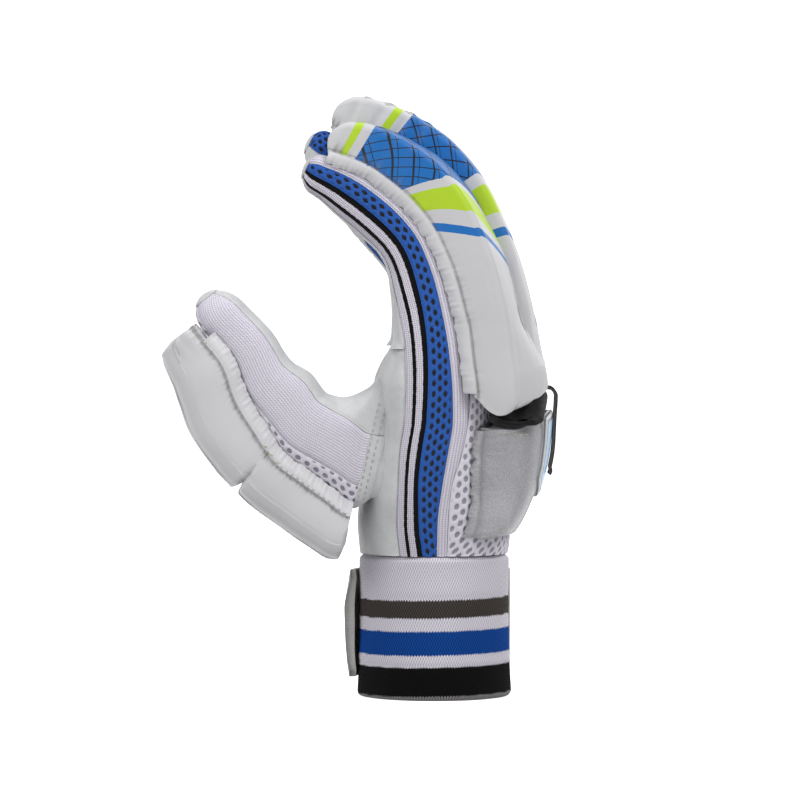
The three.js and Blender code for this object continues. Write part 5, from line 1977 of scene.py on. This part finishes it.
@dataclass
class WristGuard:
    """Silver wrist pad with its badge, the folded hinge above it and the dark tab strip."""

    wardrobe: Wardrobe
    corner: float = 8.0
    rows: int = 46
    columns: int = 60
    fine_rows: int = 161
    badge_half_width: float = 25.0
    badge_height: float = 30.0
    badge_foot: float = 0.3
    badge_rim: float = 2.0
    hinge_half_width: float = 44.0
    hinge_reach: float = 23.0
    hinge_loop: float = 2.6
    tab_width: float = 14.0
    tab_length: float = 36.0
    tab_thickness: float = 1.5
    tab_overhang: float = 6.5

    @staticmethod
    def half(rise: Array) -> Array:
        """Half width of the pad at a share between its foot and its top."""
        return SIZES.wrist_pad_width * (0.84 + 0.16 * rise) / 2

    @staticmethod
    def face(rise: Array, lateral: Array) -> Array:
        """Distance of the pad's outer face from the cuff's middle, along X."""
        share = 2 * lateral / SIZES.wrist_pad_width
        swell = 1 - (1 - np.clip(rise, 0, 1)) ** 2.6
        ridge = (SIZES.palm_depth * (0.157 + 0.109 * swell)
                 + SIZES.wrist_pad_thickness * (0.78 + 0.22 * swell))
        crown = 0.72 + 0.28 * np.sqrt(np.clip(rise, 0, 1))
        return ridge + SIZES.palm_depth * 0.15 * (1 - share**2) * crown

    @staticmethod
    def level(rise: Array, lateral: Array) -> Array:
        """Height at a share between the pad's foot and its arched top."""
        return SIZES.pad_foot + (wrist_pad_top(lateral) - SIZES.pad_foot) * rise

    def under(self, rise: Array, lateral: Array) -> Array:
        """X of the pad's inner face, which follows the back of the hand."""
        z = self.level(rise, lateral)
        stations = hand_stations(((z - SIZES.wrist) / SIZES.palm_length).ravel())
        roof = stations.roof(lateral.ravel()[:, None])[:, 0]
        edge = stations.edges["flange"] * stations.depth / 2 + SIZES.palm_depth * 0.07
        return (stations.centre[:, 0] + np.maximum(edge, roof) + 0.95).reshape(z.shape)

    def pad(self) -> Piece:
        """The silver pad: a rounded block over the back of the wrist, lipped and stitched."""
        rise = np.linspace(0, 1, self.rows)[:, None]
        theta = np.linspace(0, math.pi, self.columns)[None, :]
        side = np.sign(np.cos(theta)) * np.abs(np.cos(theta)) ** (2 / self.corner)
        lift = np.abs(np.sin(theta)) ** (2 / self.corner)
        ends = 1 - np.abs(2 * rise - 1) ** 9
        size = np.clip(ends, 0.0, 1) ** (1 / 4) * 0.75 + 0.25
        half = self.half(rise)
        lateral = side * half * (0.96 - 0.02 * lift)
        z = self.level(rise, lateral)
        inner_x = self.under(rise + 0 * theta, lateral)
        outer_x = inner_x + (self.face(rise, lateral) - inner_x) * lift * size
        over = np.stack([outer_x, lateral, z], axis=-1)
        back_lateral = np.flip(side, axis=1) * half
        back = np.stack([self.under(rise + 0 * theta, back_lateral), back_lateral,
                         self.level(rise, back_lateral)], axis=-1)[:, ::3]
        rings = np.concatenate([over, back], axis=1)
        held = np.concatenate([np.clip(1 - lift * 6, 0, 1) + 0 * rise, np.ones(back.shape[:2])], axis=1)
        grid = refined(ClothPuff(pressure=3.0, cap=1.6).puffed("wrist_cover", rings, held, 0.6),
                       self.fine_rows)
        proud = refined(np.concatenate([lift * size, np.zeros(back.shape[:2])], axis=1),
                        self.fine_rows)
        normal = outward_normals(grid)
        y, z = grid[..., 1], grid[..., 2]
        lip = np.exp(-((proud - 0.22) / 0.1) ** 2)
        wrinkle = lip * 0.6 * wobble(z * 0.9, y / 6, 0.2)
        swell = 0.3 * wobble(z / 9, y / 10, 2.0)
        grid = grid + normal * (smoothstep(0.02, 0.12, proud) * (wrinkle + swell))[..., None]
        piece = tube_object("silver_wrist_pad", grid, {"along": z, "across": y})
        dress(piece, ["wrist_pad"], self.wardrobe.silver)
        for turn, label in ((-1, "near"), (1, "far")):
            self.welt(turn, label)
        return piece

    def welt(self, side: int, label: str) -> Piece:
        """Gathered edge of the pad, sewn down on the back mesh.

        Args:
            side: -1 for the thumb's side and 1 for the little finger's.
            label: the side's name.

        Returns:
            The edge strip.
        """
        rise = np.linspace(0.03, 0.98, 40)
        half = self.half(rise)
        lateral = side * half * 0.97
        z = self.level(rise, lateral)
        stations = hand_stations((z - SIZES.wrist) / SIZES.palm_length)
        inner_x = self.under(rise, lateral)
        across = inner_x - 2.2 - stations.centre[:, 0]
        reach = stations.flank(across) + 0.7
        start = np.stack([inner_x + 2.4, lateral, z], axis=1)
        end = np.stack([stations.centre[:, 0] + across, side * reach, z], axis=1)
        out = directions(start, 0.0, side, 0.0)
        piece = ribbon(f"wrist_pad_{label}_welt", start, end, out, rows=201, wave=0.9, thick=1.1,
                       bulge=1.2)
        return dress(piece, [], self.wardrobe.silver)

    def badge(self) -> Piece:
        """Plain badge panel on the pad's outer face."""
        v = np.linspace(0, 1, 61)[:, None]
        u = np.linspace(-1, 1, 101)[None, :]
        taper = 0.55 + 0.45 * smoothstep(0, 0.28, v)
        lateral = u * self.badge_half_width * taper
        tall = self.badge_height / SIZES.wrist_pad_height
        rise = self.badge_foot + v * tall

        def layer(lift: float) -> Array:
            """The panel at a height over the pad's face."""
            return np.stack([self.face(rise, lateral) + lift, lateral,
                             self.level(rise, lateral)], axis=-1)

        height = (wrist_pad_top(0.0) - SIZES.pad_foot) * self.badge_height / SIZES.wrist_pad_height
        rim = np.minimum(np.minimum(v, 1 - v) * height,
                         (1 - np.abs(u)) * self.badge_half_width * taper)
        dome = 0.7 * np.sqrt(np.clip(rim / self.badge_rim, 0, 1))
        outer = layer(1.0) + dome[..., None] * np.array([1.0, 0, 0])
        values = {"along": layer(0)[..., 2], "across": lateral + 0 * v, "rim": rim}
        piece = panel_object("wrist_badge_panel", outer, layer(-0.9)[::4, ::4], values, 4)
        return dress(piece, ["wrist_badge"], self.wardrobe.badge)

    def hinge(self) -> Piece:
        """Folded black cloth between the wrist pad and the finger rolls."""
        share = np.linspace(-1, 1, 81)[:, None]
        lateral = share * self.hinge_half_width
        low = wrist_pad_top(lateral) + 0.35
        root = SIZES.palm_depth * (0.35 + 0.04 * (1 - share**2))
        profile = np.array([
            (0.02, 0.5), (0.3, 0.05), (0.62, 0.05), (0.9, 0.35), (1.0, 1.1), (0.9, 1.75),
            (0.62, 1.3), (0.4, 1.15), (0.16, 1.5), (0.04, 1.6)])
        ring = refine_ring(profile[None], 5)[0]
        wave = 0.5 * wobble(lateral / 4, ring[None, :, 0] * 6, 0.8)
        x = root + ring[None, :, 0] * self.hinge_reach
        loose = smoothstep(0.1, 0.5, ring[None, :, 0])
        z = low + ring[None, :, 1] * self.hinge_loop + 0.35 + wave * loose
        pleat = 0.35 * np.sin(ring[None, :, 0] * 22) * smoothstep(0.15, 0.4, ring[None, :, 1])
        rings = np.stack([x, lateral + 0 * x, z + pleat], axis=-1)
        values = {"along": arc_lengths(rings, 0), "across": arc_lengths(rings, 1)}
        piece = tube_object("black_hinge_fold", rings, values)
        return dress(piece, ["hinge_gusset"], self.wardrobe.black)

    def tab(self) -> Piece:
        """Dark woven strip that hangs down the middle of the pad from the hinge."""
        v = np.linspace(0, 1, 121)
        u = np.linspace(-0.5, 0.5, 25)[None, :]
        top = float(wrist_pad_top(0.0)) + 6.25
        up = smooth_curve([0, 0.84, 0.92, 1.0], [0, 0.94, 1.0, 1.0], v)
        over = smooth_curve([0, 0.82, 0.88, 1.0], [0, 0, 0.16, 1.0], v)
        z = top - self.tab_length * (1 - up)
        rise = np.clip((z - SIZES.pad_foot) / (wrist_pad_top(0.0) - SIZES.pad_foot), 0, 1)
        fold = 0.8 * np.exp(-((v - 0.02) / 0.03) ** 2)
        x = self.face(rise, 0 * rise) + 1.95 - self.tab_overhang * over + fold + 0.2 * np.sin(9 * v)
        ahead = unit(np.stack([np.gradient(x), np.gradient(z)], axis=1))

        def layer(lift: float) -> Array:
            """The strip's face at one side of its thickness."""
            side_x, side_z = x + ahead[:, 1] * lift, z - ahead[:, 0] * lift
            return np.stack([side_x[:, None] + 0 * u, u * self.tab_width + 0 * v[:, None],
                             side_z[:, None] + 0 * u], axis=-1)

        outer = layer(self.tab_thickness)
        values = {"along": arc_lengths(outer, 0), "across": arc_lengths(outer, 1)}
        piece = panel_object("hinge_tab_strip", outer, layer(0.0)[::4, ::4], values, 4)
        return dress(piece, ["hinge_tab"], self.wardrobe.tab)


@dataclass
class Stitching:
    """Rows of short thread stitches, all of one colour in one mesh.

    The sink is the share of the thread's thickness that lies in the surface.
    """

    name: str
    slot: str
    material: Material
    sink: float = 0.3
    sides: int = 6
    runs: list[tuple[Array, Array]] = field(default_factory=list)

    def run(self, path: Array, normal: Array, pitch: float, length: float, thick: float,
            slant: float = 0.0) -> None:
        """Adds stitches along a path.

        Args:
            path: points in construction millimetres.
            normal: outward directions at those points.
            pitch: distance between stitches.
            length: length of one stitch.
            thick: thread diameter.
            slant: turn of each stitch in the surface, in degrees.
        """
        distance = arc_lengths(path[:, None], 0)[:, 0]
        places = np.arange(pitch / 2, distance[-1], pitch)

        def sampled(values: Array, shift: float = 0.0) -> Array:
            """Values at the stitches' places, shifted along the path."""
            return np.stack([np.interp(places + shift, distance, v) for v in values.T], axis=1)

        points, up = sampled(path), unit(sampled(normal))
        ahead = unit(sampled(path, 0.2) - sampled(path, -0.2))
        ahead = unit(ahead - up * np.einsum("ij,ij->i", ahead, up)[:, None])
        beside = np.cross(up, ahead)
        turn = math.radians(slant)
        axis = ahead * math.cos(turn) + beside * math.sin(turn)
        flank = np.cross(up, axis)
        theta = np.linspace(0, math.pi, self.sides)[:, None]
        phi = round_angles(self.sides)
        a = np.cos(theta) + 0 * phi
        r = np.sin(theta) ** 0.6
        shape = np.stack([a * length / 2, r * np.cos(phi) * thick / 2,
                          r * np.sin(phi) * thick / 2 + thick * (0.5 - self.sink)], axis=-1)
        frame_axes = np.stack([axis, flank, up], axis=1)
        grid = points[:, None, None] + sum(shape[None, ..., k:k + 1] * frame_axes[:, None, None, k]
                                           for k in range(3))
        first = np.arange(len(places)) * self.sides**2
        block = quads(self.sides, self.sides, 0, True)[None] + first[:, None, None]
        self.runs.append((grid.reshape(-1, 3), block.reshape(-1, 4)))

    def build(self) -> Piece:
        """Joins all runs into one piece."""
        points, faces, first = [], [], 0
        for run_points, run_faces in self.runs:
            points.append(run_points)
            faces.append(run_faces + first)
            first += len(run_points)
        piece = mesh_object(self.name, np.concatenate(points), [np.concatenate(faces)])
        return dress(piece, [], self.material)


class Seams:
    """The visible stitching: lips of rolls and pads, and two rows on the thumb's collar."""

    def __init__(self, wardrobe: Wardrobe) -> None:
        """Keeps the finishes."""
        self.wardrobe = wardrobe

    def build(self) -> None:
        """Builds the three threads."""
        cream = Stitching("cream_stitches", "silver_pad", self.wardrobe.cream)
        white = Stitching("white_stitches", "white_pad", self.wardrobe.white_thread)
        lime = Stitching("lime_stitches", "white_pad", self.wardrobe.lime_thread)
        self.finger_flanges(white, lime)
        self.collar_rows(white)
        self.wrist_pad_edge(cream)
        self.thumb_flanges(white, lime)
        for thread in (cream, white, lime):
            thread.build()

    def finger_flanges(self, white: Stitching, lime: Stitching) -> None:
        """Stitches along the lips of the index and little rolls, outer sides."""
        for digit, side in ((DIGITS[0], -1), (DIGITS[3], 1)):
            along = np.linspace(0.02, 0.92, 80)
            stations = finger_stations(digit, along, web=False)
            share = PAD_TABLE.at("width", np.clip(along, 0.06, 0.945))
            half = (SIZES.pitch - SIZES.pad_gap) / 2 * share
            across = stations.depth / 2 + 1.1
            path = stations.point(across[:, None], (side * (half + 0.05))[:, None])[:, 0]
            normal = directions(path, 0, side, 0)
            body = along < 0.62
            white.run(path[body], normal[body], 2.6, 1.7, 0.5)
            lime.run(path[~body], normal[~body], 3.1, 2.6, 0.55, slant=28)

    def collar_rows(self, white: Stitching) -> None:
        """Double row of stitches round the leather collar at the thumb's root."""
        for row in (0.82, 0.5):
            stations = thumb_stations(np.array([row, row + 0.01]))
            angle = np.linspace(stations.angle("flange", Side.NEAR)[0] + 0.25,
                                stations.angle("seam1", Side.NEAR)[0] + 0.5, 60)
            path = stations.outline(angle[None, :] + np.zeros((2, 1)))[0]
            outer = stations.outline(angle[None, :] + np.zeros((2, 1)), -1.0)[0]
            white.run(path, unit(outer - path), 2.9, 1.9, 0.5)

    def wrist_pad_edge(self, cream: Stitching) -> None:
        """Heavy cream stitches along the wrist pad's near and far edges, finer ones across."""
        guard = WristGuard(self.wardrobe)
        for side in (-1, 1):
            rise = np.linspace(0.06, 0.97, 40)
            lateral = side * guard.half(rise) * 0.985
            x = guard.under(rise, lateral) + 1.6
            path = np.stack([x, lateral - side * 0.4, guard.level(rise, lateral)], axis=1)
            normal = directions(path, -0.25, side, 0)
            cream.run(path, unit(normal), 7.2, 6.2, 0.7, slant=9)
            for level in (0.06, 0.93):
                place = np.array([level]), np.array([side * 40.0])
                inner, outer = float(guard.under(*place)[0]), float(guard.face(*place)[0])
                x = np.linspace(inner + 3.5, outer - 1.5, 20)
                flank = side * guard.half(level) * 0.945
                z = guard.level(level + 0 * x, flank + 0 * x)
                path = np.stack([x, flank + 0 * x, z], axis=1)
                normal = directions(path, 0, side, 0)
                cream.run(path, normal, 2.6, 1.9, 0.5, slant=6)

    def thumb_flanges(self, white: Stitching, lime: Stitching) -> None:
        """Stitches along the lips of both thumb rolls on the near side."""
        for first, last in ((1.15, 4.6), (5.05, 8.0)):
            row = np.linspace(first, last, 50)
            stations = thumb_stations(row)
            share = np.minimum(1, stations.width / SIZES.thumb_width + 0.1)
            half = SIZES.thumb_pad_width / 2 * 0.99 * share
            path = stations.point((stations.depth / 2 + 1.1)[:, None], (-half)[:, None])[:, 0]
            normal = directions(path, 0, -1.0, 0)
            white.run(path, normal, 2.8, 1.8, 0.5)
            end = slice(-12, None)
            lime.run(path[end], normal[end], 4.4, 2.4, 0.5, slant=35)


@dataclass
class Studio:
    """Pale floor, soft lights and the camera at the photograph's angle."""

    lens: float = 300.0
    photo_width: float = 340.0
    plane: float = -34.0
    elevation: float = 1.5
    look_x: float = -14.7
    look_z: float = 127.9
    sensor: float = 36.0
    floor_glow: float = 0.8
    world_light: float = 0.46

    def build(self) -> None:
        """Adds the floor, the lights and the camera."""
        self.floor()
        self.lights()
        self.camera()
        bpy.context.scene.view_settings.view_transform = "Standard"

    def floor(self) -> None:
        """A broad plain floor that rises into a backdrop behind the glove."""
        u = np.linspace(-1, 1, 25)[:, None]
        s = np.linspace(0, 1, 60)[None, :]
        depth = -3000 + 6000 * np.clip(s / 0.7, 0, 1)
        climb = np.clip((s - 0.7) / 0.3, 0, 1)
        points = np.stack([u * 4000 + 0 * s, depth + 400 * np.sin(climb * math.pi / 2) + 0 * u,
                           -0.15 + 3600 * climb**1.8 + 0 * u], axis=-1)
        mesh = bpy.data.meshes.new("studio_floor")
        mesh.from_pydata(PLACE.metres(points).reshape(-1, 3).tolist(), [],
                         quads(25, 60).tolist())
        mesh.polygons.foreach_set("use_smooth", np.ones(len(mesh.polygons), bool))
        ground = bpy.data.objects.new("studio_floor", mesh)
        bpy.context.scene.collection.objects.link(ground)
        shader = Shader("floor_paper", 0.9, Emission_Strength=self.floor_glow)
        shader.put("Emission Color", (1.0, 1.0, 1.0, 1.0))
        shader.colour(linear("fdfdfd"))
        mesh.materials.append(shader.material)
        ground.visible_diffuse = False

    def lights(self) -> None:
        """Large soft lights from the upper left, right, above and behind, and a pale world."""
        for name, place, turn, size, power in (
                ("key", (1.1, -1.0, 1.3), (51, 0, 48), 0.8, 15),
                ("front", (-1.0, -1.2, 1.1), (50, 0, -40), 1.2, 13),
                ("top", (0.2, 0.1, 1.7), (0, 0, 0), 1.2, 7),
                ("rim", (0.9, 1.2, 0.9), (-62, 0, -35), 1.0, 2.5)):
            data = bpy.data.lights.new(name, "AREA")
            data.energy = power
            data.size = size
            lamp = bpy.data.objects.new(name, data)
            lamp.location = place
            lamp.rotation_euler = [math.radians(a) for a in turn]
            bpy.context.scene.collection.objects.link(lamp)
        world = bpy.data.worlds.new("studio_air")
        world.use_nodes = True
        background = world.node_tree.nodes["Background"]
        background.inputs[0].default_value = (1.0, 1.0, 1.0, 1.0)
        background.inputs[1].default_value = self.world_light
        bpy.context.scene.world = world

    def camera(self) -> None:
        """A long lens level with the middle of the photograph, a little above the horizon."""
        data = bpy.data.cameras.new("photo_camera")
        data.lens = self.lens
        data.sensor_width = self.sensor
        data.clip_end = 30.0
        distance = self.photo_width * MM * self.lens / self.sensor
        target = PLACE.metres(np.array([self.look_x, self.plane, self.look_z]))
        lift = math.radians(self.elevation)
        place = target + distance * np.array([0, -math.cos(lift), math.sin(lift)])
        body = bpy.data.objects.new("photo_camera", data)
        body.location = place
        body.rotation_euler = (math.pi / 2 - lift, 0, 0)
        bpy.context.scene.collection.objects.link(body)
        bpy.context.scene.camera = body


def main() -> None:
    """Builds the glove from cuff to fingertips, then the studio."""
    logging.basicConfig(level=logging.INFO, format="%(name)s %(message)s")
    wardrobe = Wardrobe()
    cuff = Cuff(wardrobe)
    cuff.band()
    cuff.strap()
    hand = HandShell(wardrobe)
    hand.palm()
    hand.back()
    hand.strips(DIGITS[0], Side.NEAR)
    hand.strips(DIGITS[3], Side.FAR)
    for digit in DIGITS:
        FingerStall(digit, wardrobe).build()
        FingerRoll(digit, wardrobe).build()
    Thumb(wardrobe).build()
    guard = WristGuard(wardrobe)
    guard.pad()
    guard.badge()
    guard.hinge()
    guard.tab()
    Seams(wardrobe).build()
    Studio().build()


if __name__ == "__main__":
    main()
